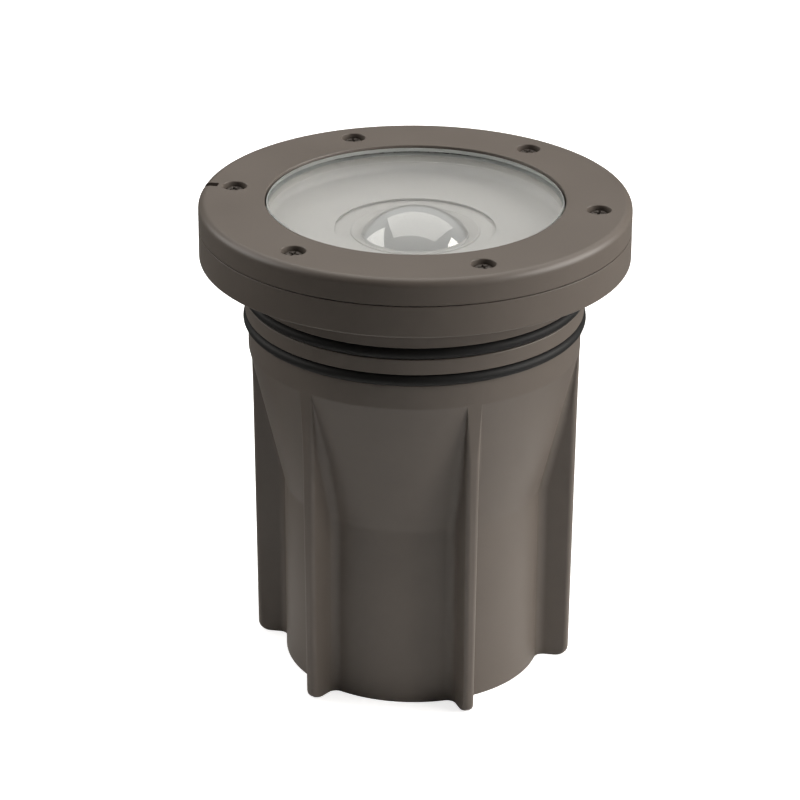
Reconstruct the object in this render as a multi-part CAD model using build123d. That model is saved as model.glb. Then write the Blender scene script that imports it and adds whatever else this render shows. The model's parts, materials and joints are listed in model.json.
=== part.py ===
from build123d import *
from math import sqrt
import os

# In-ground well light: a finned can that drops into a ground sleeve as far as its flange, two sealing rings,
# a screwed trim ring over a stepped glass, and below the glass a lamp head that swivels and tilts.
# Millimetres, +Z up. The origin is the centre of the face that the light stands on.
# Fins and screws stand at 0, 60, 120 ... degrees, and the pry notch at 180 degrees.

# Trim ring, flange and screws
OVERALL_HEIGHT = 162.0
LEAST_ROUNDING = 1.2
RING_RADIUS = 70.0
SEAM_Z = OVERALL_HEIGHT - 8.5
FLANGE_BOTTOM = OVERALL_HEIGHT - 19.0
WINDOW_RADIUS = 48.6
LIP_UNDERSIDE = OVERALL_HEIGHT - 4.8
GLASS_SEAT_RADIUS = 53.6
RING_EDGE_ROUNDING = 2.5
SEAM_BEVEL = 0.4
SCREW_PITCH_RADIUS = 59.45
COUNTERBORE_RADIUS = 4.0
COUNTERBORE_FLOOR = OVERALL_HEIGHT - 3.4
TRIM_SCREW_RADIUS = 2.0
TRIM_SCREW_HEAD = (3.7, 2.4)
TRIM_SCREW_CLEARANCE = 0.25
TRIM_SCREW_END = FLANGE_BOTTOM + 3.0
TRIM_SCREW_SPARE = 1.0
PAN_FLAT_SHARE = 0.7
PAN_SHOULDER_SHARE = 0.45
WINDOW_BEVEL = 0.4
NOTCH_ANGLE = 180.0
NOTCH_WIDTH = 3.0
NOTCH_DEPTH = 5.0

# Glass and its two gaskets
GLASS_TOP = OVERALL_HEIGHT - 0.7
GLASS_BOTTOM = OVERALL_HEIGHT - 9.1
GLASS_STEP_TOP = LIP_UNDERSIDE - 0.8
GLASS_FACE_RADIUS = 48.1
GLASS_STEP_RADIUS = 53.0
GLASS_STEP_BEVEL = 0.3
GLASS_FACE_BEVEL = 0.45
GASKET_LEDGE = GLASS_BOTTOM - 1.0
UPPER_GASKET_BORE = GLASS_FACE_RADIUS + 0.8

# Outside of the can
COUNT = 6
SECTOR = 360.0 / COUNT
COLLAR_RADIUS = 55.5
LAND_RADIUS = 55.3
GROOVE_RADIUS = 52.3
UPPER_GROOVE = (129.2, 133.2)
LOWER_GROOVE = (120.0, 124.0)
BAND_RADIUS = 54.4
BAND_BOTTOM = 111.7
CAN_RADIUS = 42.9
CONE_BOTTOM = 63.0
O_RING_SECTION = 1.8
O_RING_RADIUS = 56.0
FLANGE_BEVEL = 0.6
FLANGE_ROOT = 1.0
LAND_BEVEL = 0.3
BAND_BEVEL = 0.4
BAND_ROUNDING = 4.0
CAN_ROUNDING = 8.0
SKIRT_BEVEL = 0.5

# Fins
FIN_TIP_BOTTOM = 53.45
FIN_TIP_TOP = 54.25
FIN_THICKNESS_BOTTOM = 3.7
FIN_THICKNESS_TOP = 4.9
FIN_TOP = BAND_BOTTOM + 0.5
FIN_ROOT_ROUNDING = 3.0
FIN_EDGE_ROUNDING = 1.5
FIN_CORNER_ROUNDING = 3.0
FIN_ROOT_SINK = 0.06
FIN_LEAST_STAND = 0.6
FIN_ROOT_SHARE = 0.55
FIN_EDGE_SHARE = 0.35
FIN_STATIONS = (0.0, CONE_BOTTOM, 96.0, 107.0, FIN_TOP)

# Inside of the can
WALL = 3.0
FLOOR_UNDERSIDE = 24.0
FLOOR_TOP = FLOOR_UNDERSIDE + WALL
FLOOR_BEVEL = 1.0
BORE_RADIUS = 47.8
TRAY_BORE_RADIUS = 50.0
TRAY_SEAT = 146.2
TRAY_SEAT_WIDTH = 1.0
RIB_TOP = 123.0
RIB_RADIUS = 44.4
RIB_WIDTH = 6.0
RIB_SINK = 1.5
CLIP_GROOVE_RADIUS = 49.2

# Reflector tray
TRAY_WALL = 1.2
TRAY_FLOOR_EDGE = 147.6
TRAY_FLOOR_LIP = 145.9
TRAY_TOP = GLASS_BOTTOM - 0.2
TRAY_CLEARANCE = 0.2
TRAY_CORNER_ROUNDING = 2.0
TRAY_BEVEL = 0.4
LOWER_GASKET_BORE = TRAY_BORE_RADIUS + 0.3
KEY_WIDTH = 4.0
KEY_REACH = 1.0

# Lamp head: everything that tilts is concentric with the pivot
PIVOT_Z = 129.0
HEAD_RADIUS = 31.0
HEAD_GAP = 0.5
HEAD_TOP = 144.9
HEAD_BOTTOM = 119.0
HEAD_SHELL = 2.5
DOME_RADIUS = 23.3
DOME_BASE = 141.8
DOME_EDGE_RADIUS = 17.3
DOME_FLANGE_RADIUS = 20.6
DOME_FLANGE_TOP = DOME_BASE + 1.5
BEZEL_RADIUS = 21.0
BEZEL_BORE = DOME_EDGE_RADIUS + 0.3
BEZEL_TOP = HEAD_TOP + 0.3
BEZEL_BEVEL = 0.3
BEZEL_CLEARANCE = 0.1
WEB_TOP = 137.0
WEB_BOTTOM = 133.5
BOARD_RADIUS = 17.8
BOARD_THICKNESS = 1.6
BOARD_CLEARANCE = 0.7
PAD_THICKNESS = 0.5
LED_RADIUS = 6.0
LED_THICKNESS = 1.2
BOARD_SCREW_RADIUS = 1.0
BOARD_SCREW_HEAD = (2.0, 1.3)
BOARD_SCREW_LENGTH = 3.5
BOARD_SCREW_Y = 13.5
BLIND_HOLE_SPARE = 0.6
BOARD_BOTTOM = WEB_TOP + PAD_THICKNESS
BOARD_TOP = BOARD_BOTTOM + BOARD_THICKNESS

# Heat sink
SINK_RADIUS = 23.0
SINK_BASE = 4.0
SINK_BOTTOM = 106.0
SINK_PLATES = 7
SINK_PLATE_PITCH = 5.6
SINK_PLATE_THICKNESS = 1.7
SINK_PLATE_INSET = 0.6
SINK_SCREW_SPOT = (14.5, SINK_PLATE_PITCH * 1.5)
SINK_DRIVER_SPACE = 3.4
SINK_SCREW_GRIP = 2.5

# Swivel ring, its washer, clip and stops
WASHER_THICKNESS = 0.8
WASHER_BORE = RIB_RADIUS + 0.4
WASHER_RADIUS = BORE_RADIUS - 0.2
RUNNING_GAP = 0.05
SWIVEL_BOTTOM = RIB_TOP + WASHER_THICKNESS + RUNNING_GAP
SWIVEL_TOP = SWIVEL_BOTTOM + 3.5
SWIVEL_RADIUS = BORE_RADIUS - 0.08
SWIVEL_BORE = 33.5
EAR_INNER_X = 31.9
EAR_OUTER_X = 37.5
EAR_RADIUS = 6.5
PIVOT_RADIUS = 2.0
PIVOT_BORE = PIVOT_RADIUS + 0.06
PIVOT_FLAT_X = 30.5
PIVOT_FLAT_RADIUS = 5.6
PIVOT_BOSS_RADIUS = 5.5
PIVOT_BOSS_X = 24.5
PIVOT_SCREW_X = 25.5
PIVOT_HEAD_RADIUS = 4.0
PIVOT_HEAD_HEIGHT = 2.4
PIVOT_HEAD_SPACE = PIVOT_HEAD_RADIUS + 0.6
PIVOT_HEAD_SLOT = 1.0
PIVOT_WASHER_RADIUS = 5.0
CLIP_CLEARANCE = 0.1
CLIP_BOTTOM = SWIVEL_TOP + CLIP_CLEARANCE
CLIP_THICKNESS = 1.2
CLIP_INNER_RADIUS = 45.0
CLIP_GAP_ANGLE = 14.0
CLIP_EYE_ANGLE = 3.5
CLIP_EYE_RADIUS = 3.2
CLIP_EYE_SINK = 0.4
CLIP_EYE_HOLE = 1.1
STOP_INNER = 38.4
STOP_OUTER = 41.8
STOP_WIDTH = 3.8
STOP_MEETING_Z = 136.0
STOP_OVERLAP = 1.5

# Driver shelf and driver
SHELF_BOTTOM = 38.0
SHELF_THICKNESS = 2.0
SHELF_RADIUS = 38.6
SHELF_SCREW_RADIUS = 34.0
SHELF_BOSS_RADIUS = 3.6
SHELF_BOSS_HOLE = 8.0
SHELF_HOLE_RADIUS = 9.0
SHELF_SCREW_LENGTH = 8.5
DRIVER_SIZE = (54.0, 30.0, 21.0)
DRIVER_WALL = 1.8
DRIVER_CORNER = 3.0
DRIVER_EAR = 7.0
DRIVER_EAR_THICKNESS = 3.0
DRIVER_EAR_RADIUS = 5.0
DRIVER_SCREW_X = (DRIVER_SIZE[0] + DRIVER_EAR) / 2
DRIVER_SCREW_LENGTH = 6.0
DRIVER_BOTTOM = SHELF_BOTTOM + SHELF_THICKNESS
POTTING_BELOW_RIM = 1.2
M3_RADIUS = 1.5
M3_HEAD = (2.8, 2.0)
M3_CLEARANCE = 0.2

# Cable gland in the middle of the floor
GLAND_THREAD_RADIUS = 8.0
GLAND_CLEARANCE = 0.1
GLAND_BORE = 4.2
GLAND_FLATS = 22.0
GLAND_NUT_FLATS = 20.0
GLAND_NUT_RADIUS = 11.6
GLAND_NUT_ROUNDING = 4.0
CABLE_RADIUS = 3.25
GLAND_SEAL_RADIUS = 6.0
GLAND_BOTTOM = 6.0
GLAND_BODY_BOTTOM = 11.0
GLAND_HEX_BOTTOM = 18.0
GLAND_SEAL_BOTTOM = GLAND_BOTTOM + 2.0
GLAND_SEAL_TOP = GLAND_HEX_BOTTOM - 0.9
GLAND_NUT_TOP = GLAND_HEX_BOTTOM - 0.5
GLAND_WASHER_RADIUS = 10.8
GLAND_WASHER_THICKNESS = 1.0
GLAND_LOCKNUT_HEIGHT = 4.0
GLAND_THREAD_TOP = FLOOR_TOP + 6.0

# How far a cutting shape reaches past the face it cuts
CUT_PAST = 1.0


def lathe(corners):
    """Turned solid from (radius, height, edge) corners: a small edge is bevelled, a large one rounded."""
    face = make_face(Polyline(*[(radius, z) for radius, z, _ in corners], close=True))
    for radius, z, edge in corners:
        corner = face.vertices().sort_by_distance((radius, z))[0]
        if edge >= LEAST_ROUNDING:
            face = fillet(corner, edge)
        elif edge:
            face = chamfer(corner, edge)
    return revolve(Plane.XZ * face, Axis.Z)


def ring(inner, outer, low, high):
    """Plain ring between two heights."""
    return lathe([(inner, low, 0), (outer, low, 0), (outer, high, 0), (inner, high, 0)])


def rod(radius, low, high, x=0.0, y=0.0):
    """Upright cylinder between two heights."""
    return Pos(x, y, (low + high) / 2) * Cylinder(radius, high - low)


def rod_along_x(radius, start, end, z):
    """Cylinder along X between two places, on either side of the middle."""
    return Pos((start + end) / 2, 0, z) * Rot(0, 90, 0) * Cylinder(radius, abs(end - start))


def block(x_span, y_span, z_span):
    """Box given by its spans."""
    sizes = [high - low for low, high in (x_span, y_span, z_span)]
    centre = [(high + low) / 2 for low, high in (x_span, y_span, z_span)]
    return Pos(*centre) * Box(*sizes)


def hexagon(flats, low, high):
    """Upright hexagonal prism."""
    outline = RegularPolygon(flats / 2, 6, major_radius=False)
    return extrude(Plane.XY.offset(low) * outline, high - low)


def around(shape, count=COUNT, start=0.0):
    """Copies of a shape at equal angles about Z."""
    return [Rot(0, 0, start + step * 360.0 / count) * shape for step in range(count)]


def pan_screw(radius, head, length):
    """Pan-head screw that stands on Z = 0 under its head (radius, height), its shank pointing down."""
    head_radius, head_height = head
    corners = [(0, head_height, 0), (head_radius * PAN_FLAT_SHARE, head_height, 0)]
    corners += [(head_radius, head_height * PAN_SHOULDER_SHARE, 0), (head_radius, 0, 0)]
    corners += [(radius, 0, 0), (radius, -length, 0), (0, -length, 0)]
    return lathe(corners)


def sphere_radius_at(z, radius):
    """Radius of a level cut through a ball about the pivot."""
    return sqrt(radius ** 2 - (z - PIVOT_Z) ** 2)


def can_radius_at(z):
    """Outside radius of the can below the band: a cone over a cylinder."""
    rise = min(max((z - CONE_BOTTOM) / (BAND_BOTTOM - CONE_BOTTOM), 0.0), 1.0)
    return CAN_RADIUS + rise * (BAND_RADIUS - CAN_RADIUS)


def fin_section(z):
    """Level outline of one fin, with hollow roundings where it grows out of the wall."""
    rise = z / FIN_TOP
    tip = FIN_TIP_BOTTOM + rise * (FIN_TIP_TOP - FIN_TIP_BOTTOM)
    half = (FIN_THICKNESS_BOTTOM + rise * (FIN_THICKNESS_TOP - FIN_THICKNESS_BOTTOM)) / 2
    wall = min(can_radius_at(z), tip - FIN_LEAST_STAND) - FIN_ROOT_SINK
    inside = wall - WALL
    root = min(FIN_ROOT_ROUNDING, FIN_ROOT_SHARE * (tip - wall))
    edge = min(FIN_EDGE_ROUNDING, FIN_EDGE_SHARE * (tip - wall))
    centre = Vector(sqrt((wall + root) ** 2 - (half + root) ** 2), half + root)
    wall_point = centre * (wall / (wall + root))
    side_point = centre - Vector(0, root)
    arc_middle = centre - ((centre.normalized() + Vector(0, 1)).normalized() * root)
    side_end = Vector(tip - edge, half)
    tip_start = Vector(tip, half - edge)
    tip_middle = Vector(tip - edge, half - edge) + Vector(1, 1).normalized() * edge
    upper = Line((inside, 0), (inside, wall_point.Y)) + Line((inside, wall_point.Y), wall_point)
    upper += ThreePointArc(wall_point, arc_middle, side_point) + Line(side_point, side_end)
    upper += ThreePointArc(side_end, tip_middle, tip_start) + Line(tip_start, (tip, 0))
    return Plane.XY.offset(z) * make_face(upper + mirror(upper, about=Plane.XZ))


def make_fin():
    """One fin: straight up the can, fading out where the cone has swelled to meet it."""
    fin = loft([fin_section(z) for z in FIN_STATIONS], ruled=True)
    corner = FIN_TIP_BOTTOM - FIN_CORNER_ROUNDING
    width = FIN_THICKNESS_TOP
    cutter = block((corner, BAND_RADIUS), (-width, width), (-CUT_PAST, FIN_CORNER_ROUNDING))
    cutter -= Pos(corner, 0, FIN_CORNER_ROUNDING) * Rot(90, 0, 0) * Cylinder(FIN_CORNER_ROUNDING, 2 * width)
    return fin - cutter


def make_housing():
    """One casting: flange, ring grooves, band, cone, can, six fins, ribs, floor and bosses."""
    inner_can = CAN_RADIUS - WALL
    gland_hole = GLAND_THREAD_RADIUS + GLAND_CLEARANCE
    taper_top = CONE_BOTTOM + (BORE_RADIUS + WALL - CAN_RADIUS) * cone_run()
    corners = [(GLASS_SEAT_RADIUS, SEAM_Z, 0), (RING_RADIUS, SEAM_Z, SEAM_BEVEL)]
    corners += [(RING_RADIUS, FLANGE_BOTTOM, FLANGE_BEVEL), (COLLAR_RADIUS, FLANGE_BOTTOM, FLANGE_ROOT)]
    corners += [(COLLAR_RADIUS, UPPER_GROOVE[1], LAND_BEVEL), (GROOVE_RADIUS, UPPER_GROOVE[1], 0)]
    corners += [(GROOVE_RADIUS, UPPER_GROOVE[0], 0), (LAND_RADIUS, UPPER_GROOVE[0], LAND_BEVEL)]
    corners += [(LAND_RADIUS, LOWER_GROOVE[1], LAND_BEVEL), (GROOVE_RADIUS, LOWER_GROOVE[1], 0)]
    corners += [(GROOVE_RADIUS, LOWER_GROOVE[0], 0), (BAND_RADIUS, LOWER_GROOVE[0], BAND_BEVEL)]
    corners += [(BAND_RADIUS, BAND_BOTTOM, BAND_ROUNDING), (CAN_RADIUS, CONE_BOTTOM, CAN_ROUNDING)]
    corners += [(CAN_RADIUS, 0, SKIRT_BEVEL), (inner_can, 0, SKIRT_BEVEL)]
    corners += [(inner_can, FLOOR_UNDERSIDE, FLOOR_BEVEL), (gland_hole, FLOOR_UNDERSIDE, 0)]
    corners += [(gland_hole, FLOOR_TOP, 0), (inner_can, FLOOR_TOP, FLOOR_BEVEL)]
    corners += [(inner_can, CONE_BOTTOM, 0), (BORE_RADIUS, taper_top, 0)]
    corners += [(BORE_RADIUS, TRAY_SEAT, 0), (TRAY_BORE_RADIUS, TRAY_SEAT, 0)]
    corners += [(TRAY_BORE_RADIUS, GASKET_LEDGE, 0), (GLASS_SEAT_RADIUS, GASKET_LEDGE, 0)]
    boss = rod(SHELF_BOSS_RADIUS, FLOOR_TOP - CUT_PAST, SHELF_BOTTOM, SHELF_SCREW_RADIUS)
    boss_hole = rod(M3_RADIUS, SHELF_BOTTOM - SHELF_BOSS_HOLE, SHELF_BOTTOM + CUT_PAST, SHELF_SCREW_RADIUS)
    screw_hole = rod(TRIM_SCREW_RADIUS, TRIM_SCREW_END, SEAM_Z + CUT_PAST, SCREW_PITCH_RADIUS)
    housing = lathe(corners) + around(make_fin())
    housing += around(make_rib(taper_top), start=SECTOR / 2) + around(boss, 3, SECTOR / 2)
    groove_top = CLIP_BOTTOM + CLIP_THICKNESS + RUNNING_GAP
    housing -= around(boss_hole, 3, SECTOR / 2)
    housing -= around(screw_hole)
    housing -= ring(BORE_RADIUS - CUT_PAST, CLIP_GROOVE_RADIUS, CLIP_BOTTOM - RUNNING_GAP, groove_top)
    return housing - make_tray_key(TRAY_CLEARANCE)


def make_rib(taper_top):
    """One rib inside the can, whose top carries the swivel ring; it ends in the wall above the taper."""
    foot = CONE_BOTTOM + (RIB_RADIUS + WALL - CAN_RADIUS) * cone_run()
    outer = BORE_RADIUS + CUT_PAST
    corners = [(0, foot, 0), (can_radius_at(foot) - RIB_SINK, foot, 0), (outer, taper_top, 0)]
    corners += [(outer, RIB_TOP, 0), (0, RIB_TOP, 0)]
    return block((RIB_RADIUS, outer), (-RIB_WIDTH / 2, RIB_WIDTH / 2), (foot, RIB_TOP)) & lathe(corners)


def cone_run():
    """Height gained on the can's cone for each millimetre of radius."""
    return (BAND_BOTTOM - CONE_BOTTOM) / (BAND_RADIUS - CAN_RADIUS)


def make_tray_key(clearance):
    """Key that stops the reflector tray turning, or its slot when given a clearance."""
    half = KEY_WIDTH / 2 + clearance
    reach = TRAY_BORE_RADIUS + KEY_REACH + clearance
    top = GASKET_LEDGE - TRAY_CLEARANCE + clearance
    return block((-half, half), (TRAY_BORE_RADIUS - TRAY_SEAT_WIDTH, reach), (TRAY_SEAT, top))


def make_trim_ring():
    """Trim ring with six counterbored screw holes, a lip over the glass and a pry notch."""
    cut_top = OVERALL_HEIGHT + CUT_PAST
    corners = [(WINDOW_RADIUS, OVERALL_HEIGHT, WINDOW_BEVEL)]
    corners += [(RING_RADIUS, OVERALL_HEIGHT, RING_EDGE_ROUNDING)]
    corners += [(RING_RADIUS, SEAM_Z, SEAM_BEVEL), (GLASS_SEAT_RADIUS, SEAM_Z, 0)]
    corners += [(GLASS_SEAT_RADIUS, LIP_UNDERSIDE, 0), (WINDOW_RADIUS, LIP_UNDERSIDE, 0)]
    hole = rod(TRIM_SCREW_RADIUS + TRIM_SCREW_CLEARANCE, SEAM_Z - CUT_PAST, cut_top, SCREW_PITCH_RADIUS)
    hole += rod(COUNTERBORE_RADIUS, COUNTERBORE_FLOOR, cut_top, SCREW_PITCH_RADIUS)
    half = NOTCH_WIDTH / 2
    notch_span = (RING_RADIUS - NOTCH_DEPTH, RING_RADIUS + CUT_PAST)
    notch = block(notch_span, (-half, half), (SEAM_Z - CUT_PAST, cut_top))
    return lathe(corners) - around(hole) - Rot(0, 0, NOTCH_ANGLE) * notch


def make_trim_screws():
    """Six pan-head screws sunk in the trim ring's counterbores."""
    length = COUNTERBORE_FLOOR - TRIM_SCREW_END - TRIM_SCREW_SPARE
    screw = pan_screw(TRIM_SCREW_RADIUS, TRIM_SCREW_HEAD, length)
    return around(Pos(SCREW_PITCH_RADIUS, 0, COUNTERBORE_FLOOR) * screw)


def make_glass():
    """Stepped glass: the face fills the window and the wider step is clamped between the gaskets."""
    corners = [(0, GLASS_BOTTOM, 0), (GLASS_STEP_RADIUS, GLASS_BOTTOM, GLASS_STEP_BEVEL)]
    corners += [(GLASS_STEP_RADIUS, GLASS_STEP_TOP, GLASS_STEP_BEVEL), (GLASS_FACE_RADIUS, GLASS_STEP_TOP, 0)]
    corners += [(GLASS_FACE_RADIUS, GLASS_TOP, GLASS_FACE_BEVEL), (0, GLASS_TOP, 0)]
    return lathe(corners)


def make_o_ring(groove):
    """Sealing ring that lies on the lower face of its groove."""
    centre = (O_RING_RADIUS - O_RING_SECTION, 0, groove[0] + O_RING_SECTION)
    return revolve(Plane(origin=centre, z_dir=(0, -1, 0)) * Circle(O_RING_SECTION), Axis.Z)


def make_tray():
    """Pale tray under the glass: short wall, rounded corner, dished floor, opening for the lamp head."""
    opening = HEAD_RADIUS + HEAD_GAP
    wall_outer = TRAY_BORE_RADIUS - TRAY_CLEARANCE
    wall_inner = wall_outer - TRAY_WALL
    lip_bottom = TRAY_FLOOR_LIP - TRAY_WALL
    corners = [(wall_outer, TRAY_TOP, 0), (wall_outer, TRAY_SEAT, TRAY_BEVEL)]
    corners += [(BORE_RADIUS - TRAY_SEAT_WIDTH, TRAY_SEAT, 0)]
    corners += [(sphere_radius_at(lip_bottom, opening), lip_bottom, 0)]
    corners += [(sphere_radius_at(TRAY_FLOOR_LIP, opening), TRAY_FLOOR_LIP, 0)]
    corners += [(wall_inner, TRAY_FLOOR_EDGE, TRAY_CORNER_ROUNDING), (wall_inner, TRAY_TOP, TRAY_BEVEL)]
    stop = stop_block(STOP_MEETING_Z - STOP_OVERLAP, TRAY_SEAT)
    return lathe(corners) + make_tray_key(0.0) + Rot(0, 0, -90) * stop


def stop_block(low, high):
    """Upright lug at the radius where the tray's stop and the swivel ring's stop meet."""
    return block((STOP_INNER, STOP_OUTER), (-STOP_WIDTH / 2, STOP_WIDTH / 2), (low, high))


def make_swivel_ring():
    """Ring that turns on the ribs, with two ears for the tilt pivots and a stop lug."""
    plate = ring(SWIVEL_BORE, SWIVEL_RADIUS, SWIVEL_BOTTOM, SWIVEL_TOP)
    ear = block((EAR_INNER_X, EAR_OUTER_X), (-EAR_RADIUS, EAR_RADIUS), (SWIVEL_BOTTOM, PIVOT_Z))
    ear += rod_along_x(EAR_RADIUS, EAR_INNER_X, EAR_OUTER_X, PIVOT_Z)
    stop = stop_block(SWIVEL_BOTTOM, STOP_MEETING_Z + STOP_OVERLAP)
    bore = rod_along_x(PIVOT_BORE, EAR_INNER_X - CUT_PAST, EAR_OUTER_X + CUT_PAST, PIVOT_Z)
    space_end = EAR_OUTER_X + PIVOT_HEAD_HEIGHT + CUT_PAST
    head_space = rod_along_x(PIVOT_HEAD_SPACE, EAR_OUTER_X, space_end, PIVOT_Z)
    swivel = plate + around(ear, 2) + Rot(0, 0, 90) * stop
    return swivel - around(bore, 2) - around(head_space, 2)


def make_clip():
    """Internal retaining ring in the bore's groove, open between two eyes for the pliers."""
    inner, outer = CLIP_INNER_RADIUS, CLIP_GROOVE_RADIUS - CLIP_CLEARANCE
    low, high = CLIP_BOTTOM, CLIP_BOTTOM + CLIP_THICKNESS
    outline = Polyline((inner, low), (outer, low), (outer, high), (inner, high), close=True)
    section = Plane.XZ * make_face(outline)
    clip = Rot(0, 0, CLIP_GAP_ANGLE / 2) * revolve(section, Axis.Z, 360 - CLIP_GAP_ANGLE)
    for side in (-1, 1):
        turn = Rot(0, 0, side * (CLIP_GAP_ANGLE / 2 + CLIP_EYE_ANGLE))
        clip += turn * rod(CLIP_EYE_RADIUS, low, high, inner + CLIP_EYE_SINK)
        clip -= turn * rod(CLIP_EYE_HOLE, low - CUT_PAST, high + CUT_PAST, inner)
    return Rot(0, 0, SECTOR) * clip


def make_pivot_screw():
    """Shoulder screw that hangs the lamp head in one ear of the swivel ring."""
    seat = EAR_OUTER_X + RUNNING_GAP
    end = seat + PIVOT_HEAD_HEIGHT
    half = PIVOT_HEAD_SLOT / 2
    shank = rod_along_x(PIVOT_RADIUS, PIVOT_SCREW_X, seat, PIVOT_Z)
    head = rod_along_x(PIVOT_HEAD_RADIUS, seat, end, PIVOT_Z)
    slot_height = (PIVOT_Z - half, PIVOT_Z + half)
    slot = block((end - PIVOT_HEAD_SLOT, end + CUT_PAST), (-EAR_RADIUS, EAR_RADIUS), slot_height)
    return shank + head - slot


def make_pivot_washer():
    """Friction washer between an ear and the lamp head."""
    washer = rod_along_x(PIVOT_WASHER_RADIUS, PIVOT_FLAT_X + RUNNING_GAP, EAR_INNER_X, PIVOT_Z)
    return washer - rod_along_x(PIVOT_BORE, PIVOT_FLAT_X, EAR_INNER_X + CUT_PAST, PIVOT_Z)


def make_aiming_cup():
    """Ball-shaped cup about the pivot: optic seat above, a web for the board, an open skirt below."""
    outside = HEAD_RADIUS + CUT_PAST
    blank = Pos(0, 0, PIVOT_Z) * Sphere(HEAD_RADIUS) & rod(outside, HEAD_BOTTOM, HEAD_TOP)
    hollow = Pos(0, 0, PIVOT_Z) * Sphere(HEAD_RADIUS - HEAD_SHELL)
    cup = blank - (hollow & rod(outside, HEAD_BOTTOM - CUT_PAST, WEB_BOTTOM))
    cup -= rod(BOARD_RADIUS + BOARD_CLEARANCE, WEB_TOP, HEAD_TOP + CUT_PAST)
    cup -= rod(BEZEL_RADIUS + BEZEL_CLEARANCE, DOME_BASE, HEAD_TOP + CUT_PAST)
    cup += around(rod_along_x(PIVOT_BOSS_RADIUS, PIVOT_BOSS_X, PIVOT_FLAT_X, PIVOT_Z), 2)
    cup -= around(rod_along_x(PIVOT_RADIUS, PIVOT_BOSS_X - CUT_PAST, outside, PIVOT_Z), 2)
    cup -= around(rod_along_x(PIVOT_FLAT_RADIUS, PIVOT_FLAT_X, outside, PIVOT_Z), 2)
    hole_top = WEB_TOP - BLIND_HOLE_SPARE
    cup -= [rod(M3_RADIUS, WEB_BOTTOM - CUT_PAST, hole_top, x, y) for x, y in sink_screw_spots()]
    return cup - board_screw_holes()


def board_screw_holes():
    """The two holes through the board and its pad into the cup's web."""
    low = BOARD_TOP - BOARD_SCREW_LENGTH - BLIND_HOLE_SPARE
    return [rod(BOARD_SCREW_RADIUS, low, BOARD_TOP + CUT_PAST, 0, y) for y in (-BOARD_SCREW_Y, BOARD_SCREW_Y)]


def sink_screw_spots():
    """The four places where screws hold the heat sink to the cup's web."""
    x, y = SINK_SCREW_SPOT
    return [(x, y), (-x, y), (-x, -y), (x, -y)]


def make_dome():
    """Clear domed optic with a flange: its curve is concentric with the pivot."""
    top = PIVOT_Z + DOME_RADIUS + CUT_PAST
    dome = Pos(0, 0, PIVOT_Z) * Sphere(DOME_RADIUS) & rod(DOME_EDGE_RADIUS, DOME_BASE, top)
    return dome + rod(DOME_FLANGE_RADIUS, DOME_BASE, DOME_FLANGE_TOP)


def make_bezel():
    """Ring that presses the optic's flange down into the cup."""
    corners = [(BEZEL_BORE, DOME_FLANGE_TOP, 0), (BEZEL_RADIUS, DOME_FLANGE_TOP, 0)]
    corners += [(BEZEL_RADIUS, BEZEL_TOP, BEZEL_BEVEL), (BEZEL_BORE, BEZEL_TOP, BEZEL_BEVEL)]
    return lathe(corners)


def make_heat_sink():
    """Round base with upright plates, cut back where the screws and the screwdriver go."""
    base_bottom = WEB_BOTTOM - SINK_BASE
    sink = rod(SINK_RADIUS, base_bottom, WEB_BOTTOM)
    for step in range(SINK_PLATES):
        y = (step - (SINK_PLATES - 1) / 2) * SINK_PLATE_PITCH
        half_length = sqrt(SINK_RADIUS ** 2 - y ** 2) - SINK_PLATE_INSET
        half = SINK_PLATE_THICKNESS / 2
        sink += block((-half_length, half_length), (y - half, y + half), (SINK_BOTTOM, base_bottom))
    for x, y in sink_screw_spots():
        sink -= rod(M3_RADIUS + M3_CLEARANCE, base_bottom - CUT_PAST, WEB_BOTTOM + CUT_PAST, x, y)
        sink -= rod(SINK_DRIVER_SPACE, SINK_BOTTOM - CUT_PAST, base_bottom, x, y)
    return sink


def make_sink_screws():
    """Four screws up through the heat sink's base into the web."""
    screw = Rot(180, 0, 0) * pan_screw(M3_RADIUS, M3_HEAD, SINK_BASE + SINK_SCREW_GRIP)
    return [Pos(x, y, WEB_BOTTOM - SINK_BASE) * screw for x, y in sink_screw_spots()]


def make_shelf():
    """Sheet-metal shelf for the driver, with a middle hole for the supply lead."""
    low, high = SHELF_BOTTOM - CUT_PAST, DRIVER_BOTTOM + CUT_PAST
    shelf = rod(SHELF_RADIUS, SHELF_BOTTOM, DRIVER_BOTTOM) - rod(SHELF_HOLE_RADIUS, low, high)
    shelf -= around(rod(M3_RADIUS + M3_CLEARANCE, low, high, SHELF_SCREW_RADIUS), 3, SECTOR / 2)
    return shelf - around(rod(M3_RADIUS, low, high, DRIVER_SCREW_X), 2)


def make_driver_case():
    """Open-topped driver case with an ear at each end."""
    length, width, height = DRIVER_SIZE
    low = DRIVER_BOTTOM
    ear_top = low + DRIVER_EAR_THICKNESS
    case = block((-length / 2, length / 2), (-width / 2, width / 2), (low, low + height))
    case = fillet(case.edges().filter_by(Axis.Z), DRIVER_CORNER)
    case -= driver_hollow(low + height + CUT_PAST)
    ear_width = (-DRIVER_EAR_RADIUS, DRIVER_EAR_RADIUS)
    ear = block((length / 2 - DRIVER_WALL, DRIVER_SCREW_X), ear_width, (low, ear_top))
    ear += rod(DRIVER_EAR_RADIUS, low, ear_top, DRIVER_SCREW_X)
    case += around(ear, 2)
    return case - around(rod(M3_RADIUS + M3_CLEARANCE, low - CUT_PAST, ear_top + CUT_PAST, DRIVER_SCREW_X), 2)


def driver_hollow(top):
    """Space inside the driver case, up to a height."""
    half_x, half_y = [size / 2 - DRIVER_WALL for size in DRIVER_SIZE[:2]]
    return block((-half_x, half_x), (-half_y, half_y), (DRIVER_BOTTOM + DRIVER_WALL, top))


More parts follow.
